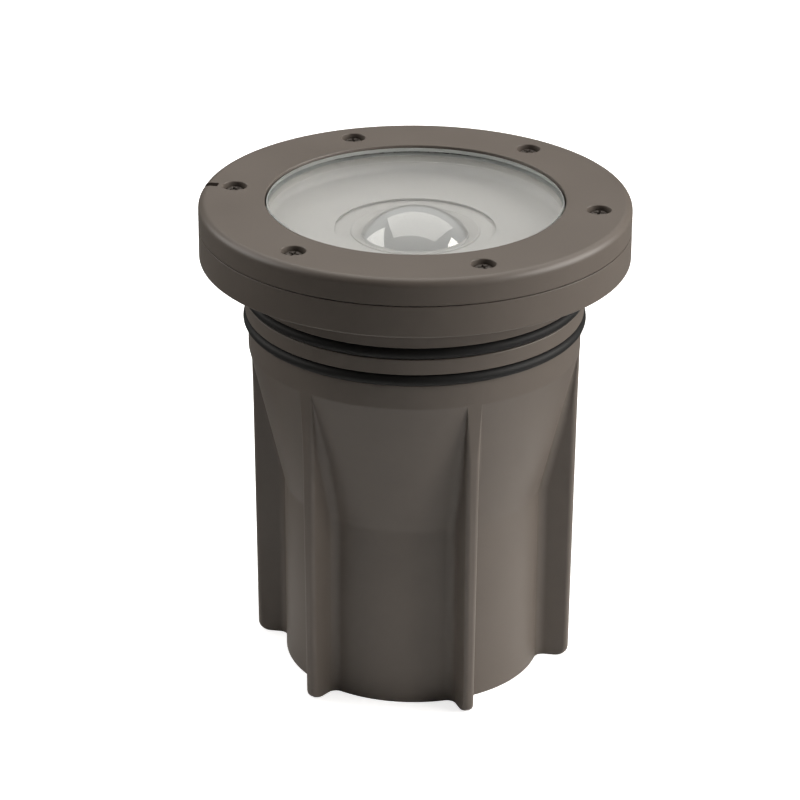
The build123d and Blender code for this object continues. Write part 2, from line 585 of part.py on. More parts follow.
def make_gland_body():
    """Gland body through the floor: thread above, hexagon below, socket for the seal."""
    body = rod(GLAND_THREAD_RADIUS, GLAND_BODY_BOTTOM, GLAND_THREAD_TOP)
    body += hexagon(GLAND_FLATS, GLAND_HEX_BOTTOM, FLOOR_UNDERSIDE - GLAND_WASHER_THICKNESS)
    body -= rod(GLAND_BORE, GLAND_BODY_BOTTOM - CUT_PAST, GLAND_THREAD_TOP + CUT_PAST)
    return body - rod(GLAND_SEAL_RADIUS + RUNNING_GAP, GLAND_BODY_BOTTOM - CUT_PAST, GLAND_SEAL_TOP)


def make_gland_nut():
    """Domed clamping nut of the gland."""
    corners = [(0, GLAND_BOTTOM, 0), (GLAND_NUT_RADIUS, GLAND_BOTTOM, GLAND_NUT_ROUNDING)]
    corners += [(GLAND_NUT_RADIUS, GLAND_NUT_TOP, 0), (0, GLAND_NUT_TOP, 0)]
    nut = hexagon(GLAND_NUT_FLATS, GLAND_BOTTOM, GLAND_NUT_TOP) & lathe(corners)
    nut -= rod(GLAND_BORE, GLAND_BOTTOM - CUT_PAST, GLAND_NUT_TOP)
    return nut - rod(GLAND_THREAD_RADIUS + RUNNING_GAP, GLAND_SEAL_BOTTOM, GLAND_NUT_TOP + CUT_PAST)


def make_locknut():
    """Thin nut that draws the gland tight from inside the can."""
    top = FLOOR_TOP + GLAND_LOCKNUT_HEIGHT
    thread = rod(GLAND_THREAD_RADIUS, FLOOR_TOP - CUT_PAST, top + CUT_PAST)
    return hexagon(GLAND_FLATS, FLOOR_TOP, top) - thread


def make_shelf_screws():
    """Three screws that hold the shelf to the housing's bosses."""
    screw = pan_screw(M3_RADIUS, M3_HEAD, SHELF_SCREW_LENGTH)
    return around(Pos(SHELF_SCREW_RADIUS, 0, DRIVER_BOTTOM) * screw, 3, SECTOR / 2)


def make_driver_screws():
    """Two screws that hold the driver's ears to the shelf."""
    screw = pan_screw(M3_RADIUS, M3_HEAD, DRIVER_SCREW_LENGTH)
    return around(Pos(DRIVER_SCREW_X, 0, DRIVER_BOTTOM + DRIVER_EAR_THICKNESS) * screw, 2)


def make_board_screws():
    """Two small screws that hold the board down on the web."""
    screw = pan_screw(BOARD_SCREW_RADIUS, BOARD_SCREW_HEAD, BOARD_SCREW_LENGTH)
    return [Pos(0, y, BOARD_TOP) * screw for y in (-BOARD_SCREW_Y, BOARD_SCREW_Y)]


def make_parts():
    """Every piece of the light, by node name."""
    gland_washer_bore = GLAND_THREAD_RADIUS + GLAND_CLEARANCE
    gland_washer_bottom = FLOOR_UNDERSIDE - GLAND_WASHER_THICKNESS
    return {
        "housing": make_housing(),
        "trim_ring": make_trim_ring(),
        "trim_screws": make_trim_screws(),
        "glass_lens": make_glass(),
        "upper_lens_gasket": ring(UPPER_GASKET_BORE, GLASS_STEP_RADIUS, GLASS_STEP_TOP, LIP_UNDERSIDE),
        "lower_lens_gasket": ring(LOWER_GASKET_BORE, GLASS_STEP_RADIUS, GASKET_LEDGE, GLASS_BOTTOM),
        "upper_o_ring": make_o_ring(UPPER_GROOVE),
        "lower_o_ring": make_o_ring(LOWER_GROOVE),
        "reflector_tray": make_tray(),
        "swivel_ring": make_swivel_ring(),
        "thrust_washer": ring(WASHER_BORE, WASHER_RADIUS, RIB_TOP, RIB_TOP + WASHER_THICKNESS),
        "retaining_clip": make_clip(),
        "pivot_screws": around(make_pivot_screw(), 2),
        "pivot_washers": around(make_pivot_washer(), 2),
        "aiming_cup": make_aiming_cup(),
        "dome_optic": make_dome(),
        "optic_bezel": make_bezel(),
        "led_board": rod(BOARD_RADIUS, BOARD_BOTTOM, BOARD_TOP) - board_screw_holes(),
        "led_emitter": rod(LED_RADIUS, BOARD_TOP, BOARD_TOP + LED_THICKNESS),
        "thermal_pad": rod(BOARD_RADIUS, WEB_TOP, BOARD_BOTTOM) - board_screw_holes(),
        "board_screws": make_board_screws(),
        "heat_sink": make_heat_sink(),
        "heat_sink_screws": make_sink_screws(),
        "driver_shelf": make_shelf(),
        "shelf_screws": make_shelf_screws(),
        "driver_case": make_driver_case(),
        "driver_potting": driver_hollow(DRIVER_BOTTOM + DRIVER_SIZE[2] - POTTING_BELOW_RIM),
        "driver_screws": make_driver_screws(),
        "gland_body": make_gland_body(),
        "gland_washer": ring(gland_washer_bore, GLAND_WASHER_RADIUS, gland_washer_bottom, FLOOR_UNDERSIDE),
        "gland_locknut": make_locknut(),
        "gland_seal": ring(CABLE_RADIUS, GLAND_SEAL_RADIUS, GLAND_SEAL_BOTTOM, GLAND_SEAL_TOP),
        "gland_nut": make_gland_nut(),
    }


def main():
    """Writes one file for each node."""
    os.makedirs("parts", exist_ok=True)
    for name, shape in make_parts().items():
        pieces = shape if isinstance(shape, list) else [shape]
        solids = [solid for piece in pieces for solid in piece.solids()]
        export_step(Compound(children=solids), f"parts/{name}.step")


main()
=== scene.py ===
"""In-ground well light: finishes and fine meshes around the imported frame, in a pale studio.

Sizes are in millimetres until a mesh is written, and each mesh is written in metres in the frame's own place.
Fins and screws stand at 0, 60, 120 ... degrees about Z, and the pry notch at 180 degrees.
"""

from __future__ import annotations

import json
import logging
import math
from dataclasses import dataclass, field
from enum import Enum
from typing import Callable, NamedTuple, Sequence

import bmesh
import bpy
from bpy.types import Material, Mesh, Node, NodeOutputs, NodeSocket, NodeTree, Object
from mathutils import Matrix, Vector

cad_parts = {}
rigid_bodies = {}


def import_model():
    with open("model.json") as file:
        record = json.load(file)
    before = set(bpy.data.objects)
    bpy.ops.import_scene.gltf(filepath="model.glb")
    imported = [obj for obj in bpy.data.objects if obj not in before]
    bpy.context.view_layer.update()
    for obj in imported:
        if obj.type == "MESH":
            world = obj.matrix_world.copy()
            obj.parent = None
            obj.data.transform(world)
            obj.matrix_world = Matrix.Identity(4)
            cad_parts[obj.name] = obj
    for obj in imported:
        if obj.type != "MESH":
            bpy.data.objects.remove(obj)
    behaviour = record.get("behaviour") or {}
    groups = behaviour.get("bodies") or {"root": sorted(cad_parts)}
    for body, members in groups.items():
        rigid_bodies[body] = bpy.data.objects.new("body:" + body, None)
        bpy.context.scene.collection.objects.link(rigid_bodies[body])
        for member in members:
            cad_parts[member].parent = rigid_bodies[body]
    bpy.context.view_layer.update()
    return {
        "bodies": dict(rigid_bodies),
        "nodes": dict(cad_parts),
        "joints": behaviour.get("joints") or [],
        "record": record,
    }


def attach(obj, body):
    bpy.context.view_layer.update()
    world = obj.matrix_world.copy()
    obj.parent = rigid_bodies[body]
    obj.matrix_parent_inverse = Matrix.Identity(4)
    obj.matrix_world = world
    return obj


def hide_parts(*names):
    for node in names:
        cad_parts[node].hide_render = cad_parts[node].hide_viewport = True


LOG = logging.getLogger("well_light")
MM = 0.001  # metres in a millimetre
FIN_COUNT = 6
ON_AXIS = 1e-6  # millimetres; a point nearer to the axis is a pole
LEAST_RISE = 1e-9  # millimetres; keeps a division safe
PAST = 1.0  # millimetres that a cutter reaches past the face it cuts
SUPPORT = 0.05  # millimetres from a rounding to the point that keeps the flat beside it flat
SHARP_ANGLE = math.radians(32)

Feeds = dict[str | int, object]
NO_FEEDS: Feeds = {}
MIX_INPUTS = (0, 6, 7)  # factor, first and second colour of a colour mix
MIX_RESULT = 2
MIDDLE = 0.5  # middle of a pattern that runs from 0 to 1
FINE_TO_COARSE = 2.2  # scale of the grain's fine lumps to its coarse ones


# ---- Outlines and meshes ----


class Corner(NamedTuple):
    """One corner of a turned outline: radius and height from the axis and the base, and its rounding."""

    radius: float
    height: float
    rounding: float = 0.0


def rounded_outline(corners: Sequence[Corner], steps: int = 6, closed: bool = True) -> list[Vector]:
    """Turns corners into points, with an arc at each rounded corner and a point just beside each arc's end.

    The close points keep the shading of the flat stretches flat.

    Args:
        corners: The outline's corners, in order.
        steps: Segments in each arc.
        closed: Whether the last corner joins the first one.

    Returns:
        The outline's points as (radius, height).
    """
    points: list[Vector] = []
    count = len(corners)
    for index, corner in enumerate(corners):
        here = Vector((corner.radius, corner.height))
        is_end = not closed and index in (0, count - 1)
        if corner.rounding <= 0 or is_end:
            points.append(here)
            continue
        before = Vector(corners[index - 1][:2])
        after = Vector(corners[(index + 1) % count][:2])
        inward = (before - here).normalized()
        outward = (after - here).normalized()
        half_turn = inward.angle(outward) / 2
        reach = corner.rounding / math.tan(half_turn)
        centre = here + (inward + outward).normalized() * (corner.rounding / math.sin(half_turn))
        start = here + inward * reach - centre
        sweep = start.angle_signed(here + outward * reach - centre)
        points.append(here + inward * (reach + SUPPORT))
        for step in range(steps + 1):
            points.append(centre + turned(start, -sweep * step / steps))
        points.append(here + outward * (reach + SUPPORT))
    return points


def turned(vector: Vector, angle: float) -> Vector:
    """The flat vector turned by an angle in radians."""
    return Matrix.Rotation(angle, 2) @ vector


def arc(centre: Vector, radius: float, first: float, last: float, steps: int) -> list[Vector]:
    """Points along an arc from one angle in radians to another, both ends included."""
    angles = [first + (last - first) * step / steps for step in range(steps + 1)]
    return [centre + radius * Vector((math.cos(angle), math.sin(angle))) for angle in angles]


def add_object(name: str, mesh: Mesh) -> Object:
    """Puts a mesh in the scene as an object at the origin."""
    piece = bpy.data.objects.new(name, mesh)
    bpy.context.scene.collection.objects.link(piece)
    return piece


def smooth(mesh: Mesh, angle: float = SHARP_ANGLE) -> None:
    """Shades a mesh smoothly, with hard edges where it turns more than an angle."""
    mesh.shade_smooth()
    mesh.set_sharp_from_angle(angle=angle)


def mesh_from_loops(name: str, loops: Sequence[Sequence[Vector]], closed: bool) -> Object:
    """Skins level loops into a closed surface; a loop of one point is a pole.

    Args:
        name: Name of the new object.
        loops: Loops of points in millimetres, all with the same count except the poles.
        closed: Whether the last loop joins the first.

    Returns:
        The new object, its faces pointing outwards.
    """
    work = bmesh.new()
    rings = [[work.verts.new(point * MM) for point in loop] for loop in loops]
    count = max(len(ring) for ring in rings)
    pairs = list(zip(rings, rings[1:]))
    if closed:
        pairs.append((rings[-1], rings[0]))
    for lower, upper in pairs:
        for step in range(count):
            after = (step + 1) % count
            corners = [lower[step % len(lower)], lower[after % len(lower)]]
            corners += [upper[after % len(upper)], upper[step % len(upper)]]
            face = list(dict.fromkeys(corners))
            if len(face) >= 3:
                work.faces.new(face)
    bmesh.ops.recalc_face_normals(work, faces=work.faces)
    mesh = bpy.data.meshes.new(name)
    work.to_mesh(mesh)
    work.free()
    smooth(mesh)
    return add_object(name, mesh)


def turned_piece(name: str, corners: Sequence[Corner], segments: int = 192, steps: int = 6) -> Object:
    """Spins a closed outline about Z.

    Args:
        name: Name of the new object.
        corners: The outline's corners; those on the axis close the piece there.
        segments: Steps round the axis.
        steps: Segments in each rounded corner.

    Returns:
        The new object.
    """
    loops = []
    for point in rounded_outline(corners, steps):
        if point.x < ON_AXIS:
            loops.append([Vector((0, 0, point.y))])
            continue
        angles = [math.tau * step / segments for step in range(segments)]
        loops.append([Vector((point.x * math.cos(a), point.x * math.sin(a), point.y)) for a in angles])
    return mesh_from_loops(name, loops, closed=True)


def cut(piece: Object, cutters: Sequence[Object]) -> None:
    """Cuts other objects out of a piece and deletes them.

    Args:
        piece: The object that is cut; its mesh is replaced.
        cutters: What is taken away.
    """
    for cutter in cutters:
        modifier = piece.modifiers.new("cut", "BOOLEAN")
        modifier.operation = "DIFFERENCE"
        modifier.solver = "EXACT"
        modifier.object = cutter
    bake_modifiers(piece)
    for cutter in cutters:
        bpy.data.objects.remove(cutter)
    smooth(piece.data)


def bake_modifiers(piece: Object) -> None:
    """Replaces a piece's mesh by its evaluated one and takes its modifiers off."""
    bpy.context.view_layer.update()
    evaluated = piece.evaluated_get(bpy.context.evaluated_depsgraph_get())
    mesh = bpy.data.meshes.new_from_object(evaluated)
    piece.modifiers.clear()
    piece.data = mesh


def copies_around(make: Callable[[], Object], count: int) -> list[Object]:
    """Makes equal pieces at equal angles about Z, each with its turn in its mesh.

    Args:
        make: Makes one piece at angle zero.
        count: How many.

    Returns:
        The pieces.
    """
    pieces = []
    for step in range(count):
        piece = make()
        piece.data.transform(Matrix.Rotation(math.tau * step / count, 4, "Z"))
        pieces.append(piece)
    return pieces


def dress(piece: Object, finish: Material) -> None:
    """Gives every face of a piece one material."""
    piece.data.materials.clear()
    piece.data.materials.append(finish)


def mark_faces(piece: Object, finish: Material, chosen: Callable[[Vector, Vector], bool]) -> None:
    """Gives some faces of a piece a second material.

    Args:
        piece: The piece, already dressed.
        finish: The second material.
        chosen: Tells from a face's middle, in millimetres, and its normal whether it gets the material.
    """
    piece.data.materials.append(finish)
    for face in piece.data.polygons:
        if chosen(face.center / MM, face.normal):
            face.material_index = len(piece.data.materials) - 1


# ---- Shader groups and finishes ----


class NodeMaker:
    """Short calls for building a node tree."""

    def __init__(self, tree: NodeTree) -> None:
        """Keeps the tree that the nodes go into."""
        self.tree = tree

    def feed(self, node: Node, feeds: Feeds) -> None:
        """Links or sets some inputs of a node.

        Args:
            node: The node.
            feeds: The output to link or the constant to set, by the input's name or number.
        """
        for key, value in feeds.items():
            if isinstance(value, NodeSocket):
                self.tree.links.new(value, node.inputs[key])
            else:
                node.inputs[key].default_value = value

    def add(self, kind: str, feeds: Feeds = NO_FEEDS, **settings: object) -> Node:
        """Adds a node.

        Args:
            kind: The node's type name.
            feeds: What goes into its inputs, as in feed.
            **settings: Node settings by name, made before the inputs are fed.

        Returns:
            The new node.
        """
        node = self.tree.nodes.new(kind)
        for name, value in settings.items():
            setattr(node, name, value)
        self.feed(node, feeds)
        return node

    def math(self, operation: str, first: object, second: object) -> NodeSocket:
        """Adds a maths node on two outputs or numbers, and gives its output."""
        return self.add("ShaderNodeMath", {0: first, 1: second}, operation=operation).outputs[0]

    def mix_colour(self, factor: object, first: object, second: object) -> NodeSocket:
        """Adds a colour mix of outputs or plain values, and gives the mixed colour."""
        feeds = dict(zip(MIX_INPUTS, (factor, first, second)))
        return self.add("ShaderNodeMix", feeds, data_type="RGBA").outputs[MIX_RESULT]

    def blend_between(
        self, value: NodeSocket, span: tuple[float, float], ends: tuple[float, float]
    ) -> NodeSocket:
        """Adds a smooth step from one number to another over a span of a value.

        Args:
            value: The value.
            span: Where the step starts and ends.
            ends: The numbers before and after it.

        Returns:
            The stepped number.
        """
        feeds = dict(zip(("Value", "From Min", "From Max", "To Min", "To Max"), (value, *span, *ends)))
        return self.add("ShaderNodeMapRange", feeds, interpolation_type="SMOOTHSTEP").outputs[0]


def new_group(name: str, inputs: dict[str, float], output: str) -> tuple[NodeTree, NodeMaker, NodeOutputs]:
    """Starts a shader group with a vector input for the place, float inputs and one float output.

    Args:
        name: The group's name.
        inputs: Names and default values of the float inputs.
        output: Name of the float output.

    Returns:
        The tree, its node maker and what its input node gives out.
    """
    tree = bpy.data.node_groups.new(name, "ShaderNodeTree")
    tree.interface.new_socket("Place", in_out="INPUT", socket_type="NodeSocketVector")
    for label, value in inputs.items():
        socket = tree.interface.new_socket(label, in_out="INPUT", socket_type="NodeSocketFloat")
        socket.default_value = value
    tree.interface.new_socket(output, in_out="OUTPUT", socket_type="NodeSocketFloat")
    make = NodeMaker(tree)
    return tree, make, make.add("NodeGroupInput").outputs


def new_material(name: str) -> tuple[Material, NodeMaker, Node, NodeSocket]:
    """Starts a material.

    Args:
        name: The material's name.

    Returns:
        The material, its node maker, its shader and the place on the piece in object coordinates.
    """
    material = bpy.data.materials.new(name)
    material.use_nodes = True
    make = NodeMaker(material.node_tree)
    place = make.add("ShaderNodeTexCoord").outputs["Object"]
    return material, make, material.node_tree.nodes["Principled BSDF"], place


def shade_of(colour: tuple[float, float, float], share: float = 1.0) -> tuple[float, ...]:
    """A colour made darker or lighter by a share, with a full alpha."""
    return tuple(min(channel * share, 1.0) for channel in colour) + (1.0,)


class SurfaceGroups:
    """The shader groups that several finishes share, built once."""

    def __init__(self) -> None:
        """Builds the groups."""
        self.grain = self.build_grain()
        self.mottle = self.build_mottle()
        self.beyond_radius = self.build_beyond_radius()

    @staticmethod
    def build_grain() -> NodeTree:
        """Fine lumps of a sprayed, cast or moulded skin, as a height.

        Returns:
            The group: Place, Lumps per metre, Fine share -> Height.
        """
        tree, make, given = new_group("skin_grain", {"Lumps per metre": 1200.0, "Fine share": 0.4}, "Height")
        lumps = {"Vector": given["Place"], "Scale": given["Lumps per metre"]}
        coarse = make.add("ShaderNodeTexNoise", {**lumps, "Detail": 2.0}, noise_dimensions="3D")
        lumps["Scale"] = make.math("MULTIPLY", lumps["Scale"], FINE_TO_COARSE)
        fine = make.add("ShaderNodeTexVoronoi", lumps, feature="SMOOTH_F1")
        share = make.math("MULTIPLY", fine.outputs["Distance"], given["Fine share"])
        make.add("NodeGroupOutput", {"Height": make.math("ADD", coarse.outputs[0], share)})
        return tree

    @staticmethod
    def build_mottle() -> NodeTree:
        """Broad soft patches between 0 and 1, for colour and gloss that is never quite even.

        Returns:
            The group: Place, Patches per metre, Contrast -> Patch.
        """
        tree, make, given = new_group("soft_mottle", {"Patches per metre": 45.0, "Contrast": 1.0}, "Patch")
        feeds = {"Vector": given["Place"], "Scale": given["Patches per metre"]}
        feeds |= {"Detail": 5.0, "Roughness": 0.6}
        noise = make.add("ShaderNodeTexNoise", feeds, noise_dimensions="3D")
        centred = make.math("SUBTRACT", noise.outputs[0], MIDDLE)
        scaled = make.math("MULTIPLY", centred, given["Contrast"])
        make.add("NodeGroupOutput", {"Patch": make.math("ADD", scaled, MIDDLE)})
        return tree

    @staticmethod
    def build_beyond_radius() -> NodeTree:
        """Mask of everything farther from the Z axis than a radius, with a soft border.

        Returns:
            The group: Place, Radius, Border -> Mask.
        """
        tree, make, given = new_group("beyond_radius", {"Radius": 0.05, "Border": 0.0002}, "Mask")
        feeds = {0: given["Place"], 1: (1.0, 1.0, 0.0)}
        flat = make.add("ShaderNodeVectorMath", feeds, operation="MULTIPLY")
        length = make.add("ShaderNodeVectorMath", {0: flat.outputs[0]}, operation="LENGTH")
        past = make.math("SUBTRACT", length.outputs["Value"], given["Radius"])
        feeds = {0: past, 1: given["Border"]}
        share = make.add("ShaderNodeMath", feeds, operation="DIVIDE", use_clamp=True)
        make.add("NodeGroupOutput", {"Mask": share.outputs[0]})
        return tree


@dataclass(frozen=True)
class Finish:
    """An opaque finish: two close colours that drift into each other, gloss that varies, and a fine grain.

    Beyond the radius outer_from, in metres, the colour is its outer_share.
    """

    name: str
    colour: tuple[float, float, float]
    drift: float = 0.06
    roughness: float = 0.45
    roughness_drift: float = 0.08
    metallic: float = 0.0
    grain_per_metre: float = 1200.0
    grain_height: float = 0.00002
    coat: float = 0.0
    specular: float = 0.5
    outer_from: float = 1.0
    outer_share: float = 1.0
    mottle_contrast: float = 1.6

    def build(self, groups: SurfaceGroups) -> Material:
        """Makes the material.

        Args:
            groups: The shared shader groups.

        Returns:
            The material.
        """
        material, make, shader, place = new_material(self.name)
        feeds = {"Place": place, "Contrast": self.mottle_contrast}
        patch = make.add("ShaderNodeGroup", feeds, node_tree=groups.mottle).outputs["Patch"]
        feeds = {"Place": place, "Radius": self.outer_from}
        edge = make.add("ShaderNodeGroup", feeds, node_tree=groups.beyond_radius)
        dark, light = (shade_of(self.colour, 1 + turn * self.drift) for turn in (-1, 1))
        outer = shade_of(self.colour, self.outer_share)
        spread = make.math("MULTIPLY", make.math("SUBTRACT", patch, MIDDLE), self.roughness_drift)
        feeds = {"Place": place, "Lumps per metre": self.grain_per_metre}
        grain = make.add("ShaderNodeGroup", feeds, node_tree=groups.grain)
        bump = make.add("ShaderNodeBump", {"Distance": self.grain_height, "Height": grain.outputs["Height"]})
        feeds = {
            "Base Color": make.mix_colour(edge.outputs["Mask"], make.mix_colour(patch, dark, light), outer),
            "Roughness": make.math("ADD", spread, self.roughness),
            "Normal": bump.outputs["Normal"],
            "Metallic": self.metallic,
            "Coat Weight": self.coat,
            "Specular IOR Level": self.specular,
        }
        make.feed(shader, feeds)
        return material


@dataclass(frozen=True)
class ClearFinish:
    """Clear glass or moulded optic: a faint uneven polish, and rough beyond ground_from, in metres."""

    name: str
    tint: tuple[float, float, float]
    ior: float = 1.5
    tint_drift: float = 0.99
    wave_height: float = 0.000004
    ground_from: float = 1.0
    ground_roughness: float = 0.6
    coat: float = 0.0
    coat_ior: float = 2.2

    def build(self, groups: SurfaceGroups) -> Material:
        """Makes the material.

        Args:
            groups: The shared shader groups.

        Returns:
            The material.
        """
        material, make, shader, place = new_material(self.name)
        patch = make.add("ShaderNodeGroup", {"Place": place}, node_tree=groups.mottle).outputs["Patch"]
        bump = make.add("ShaderNodeBump", {"Distance": self.wave_height, "Height": patch})
        feeds = {"Place": place, "Radius": self.ground_from}
        edge = make.add("ShaderNodeGroup", feeds, node_tree=groups.beyond_radius)
        feeds = {
            "Base Color": make.mix_colour(patch, shade_of(self.tint, self.tint_drift), shade_of(self.tint)),
            "Normal": bump.outputs["Normal"],
            "Roughness": make.math("MULTIPLY", edge.outputs["Mask"], self.ground_roughness),
            "Transmission Weight": 1.0,
            "IOR": self.ior,
            "Coat Weight": self.coat,
            "Coat IOR": self.coat_ior,
        }
        make.feed(shader, feeds)
        return material


class Finishes:
    """Every finish of the light, made once."""

    def __init__(self) -> None:
        """Builds the shared groups and the materials."""
        groups = SurfaceGroups()
        self.powder_coat = Finish(
            "bronze_powder_coat", (0.142, 0.121, 0.104), roughness=0.42, grain_height=0.000012
        ).build(groups)
        self.screw = Finish(
            "bronzed_steel", (0.125, 0.110, 0.098), metallic=0.55, roughness=0.3, grain_per_metre=4000.0
        ).build(groups)
        self.rubber = Finish(
            "soft_rubber", (0.010, 0.010, 0.010), roughness=0.6, drift=0.2, specular=0.3
        ).build(groups)
        self.white = Finish(
            "pale_moulding", (0.72, 0.705, 0.68), drift=0.02, roughness=0.3, grain_height=0.000001
        ).build(groups)
        self.glass = ClearFinish("window_glass", (0.975, 0.98, 0.972), ground_from=0.0475).build(groups)
        self.ground_edge = Finish(
            "ground_glass_edge", (0.62, 0.64, 0.62), roughness=0.6, drift=0.03
        ).build(groups)
        self.optic = ClearFinish(
            "moulded_optic", (0.985, 0.985, 0.98), ior=1.585, wave_height=0.000001, coat=1.0
        ).build(groups)
        self.optic_rim = Finish(
            "matt_optic_base", (0.92, 0.92, 0.90), roughness=0.5, drift=0.02
        ).build(groups)
        self.aluminium = Finish(
            "blasted_aluminium", (0.60, 0.60, 0.60), metallic=1.0, roughness=0.5, grain_per_metre=2600.0
        ).build(groups)
        self.zinc = Finish(
            "zinc_plate", (0.66, 0.66, 0.67), metallic=1.0, roughness=0.32, grain_height=0.000006
        ).build(groups)
        self.spring = Finish(
            "dark_spring_steel", (0.16, 0.16, 0.17), metallic=0.9, roughness=0.4
        ).build(groups)
        self.nylon = Finish("natural_nylon", (0.70, 0.67, 0.60), roughness=0.5).build(groups)
        self.board = Finish(
            "white_solder_mask",
            (0.66, 0.66, 0.645),
            roughness=0.35,
            coat=0.3,
            outer_from=0.012,
            outer_share=0.6,
        ).build(groups)
        self.emitter = Finish(
            "frosted_emitter", (0.66, 0.66, 0.645), roughness=0.4, grain_per_metre=5000.0
        ).build(groups)
        self.pad = Finish("silicone_pad", (0.32, 0.34, 0.38), roughness=0.7).build(groups)
        self.plastic = Finish(
            "black_nylon", (0.022, 0.022, 0.024), roughness=0.55, grain_height=0.00003
        ).build(groups)
        self.resin = Finish("poured_resin", (0.02, 0.02, 0.022), roughness=0.2).build(groups)


# ---- The can ----


@dataclass
class Fin:
    """One fin's sizes: its tip nears the band's radius and dies out where the cone has swelled to meet it."""

    tip_bottom: float = 53.45
    tip_top: float = 54.38
    thickness_bottom: float = 3.7
    thickness_top: float = 4.9
    root_rounding: float = 3.0
    edge_rounding: float = 1.5
    corner_rounding: float = 3.0
    least_stand: float = 0.001
    root_share: float = 0.55
    edge_share: float = 0.35
    support_share: float = 0.1

    def half_outline(self, height: float, wall: float, top: float) -> list[Vector]:
        """Level outline from the fin's middle to the middle of the bay beside it.

        Args:
            height: Height of the level.
            wall: Radius of the can there.
            top: Height where the fin has died out.

        Returns:
            Points as flat vectors, the fin's middle on the X axis.
        """
        rise = min(height / top, 1.0)
        tip = self.tip_bottom + rise * (self.tip_top - self.tip_bottom)
        if height < self.corner_rounding:
            drop = self.corner_rounding - height
            tip -= self.corner_rounding - math.sqrt(self.corner_rounding**2 - drop**2)
        half = (self.thickness_bottom + rise * (self.thickness_top - self.thickness_bottom)) / 2
        stand = max(tip - wall, self.least_stand)
        root = min(self.root_rounding, self.root_share * stand)
        edge = min(self.edge_rounding, self.edge_share * stand)
        beside = min(SUPPORT, self.support_share * stand)
        tip_edge_angle = math.asin((half - edge) / tip)
        points = arc(Vector((0, 0)), max(tip, wall), 0, tip_edge_angle - beside / tip, 3)
        edge_centre = turned(Vector((tip - edge, 0)), tip_edge_angle)
        points += arc(edge_centre, edge, tip_edge_angle, math.pi / 2, 6)
        side_x, side_y = points[-1]
        centre = Vector((math.sqrt((wall + root) ** 2 - (side_y + root) ** 2), side_y + root))
        points.append(Vector((side_x - beside, side_y)))
        points.append(Vector(((side_x + centre.x) / 2, side_y)))
        points.append(Vector((centre.x + beside, side_y)))
        wall_angle = math.atan2(centre.y, centre.x)
        points += arc(centre, root, -math.pi / 2, wall_angle - math.pi, 9)
        points += arc(Vector((0, 0)), wall, wall_angle + beside / wall, math.pi / FIN_COUNT, 14)
        return points


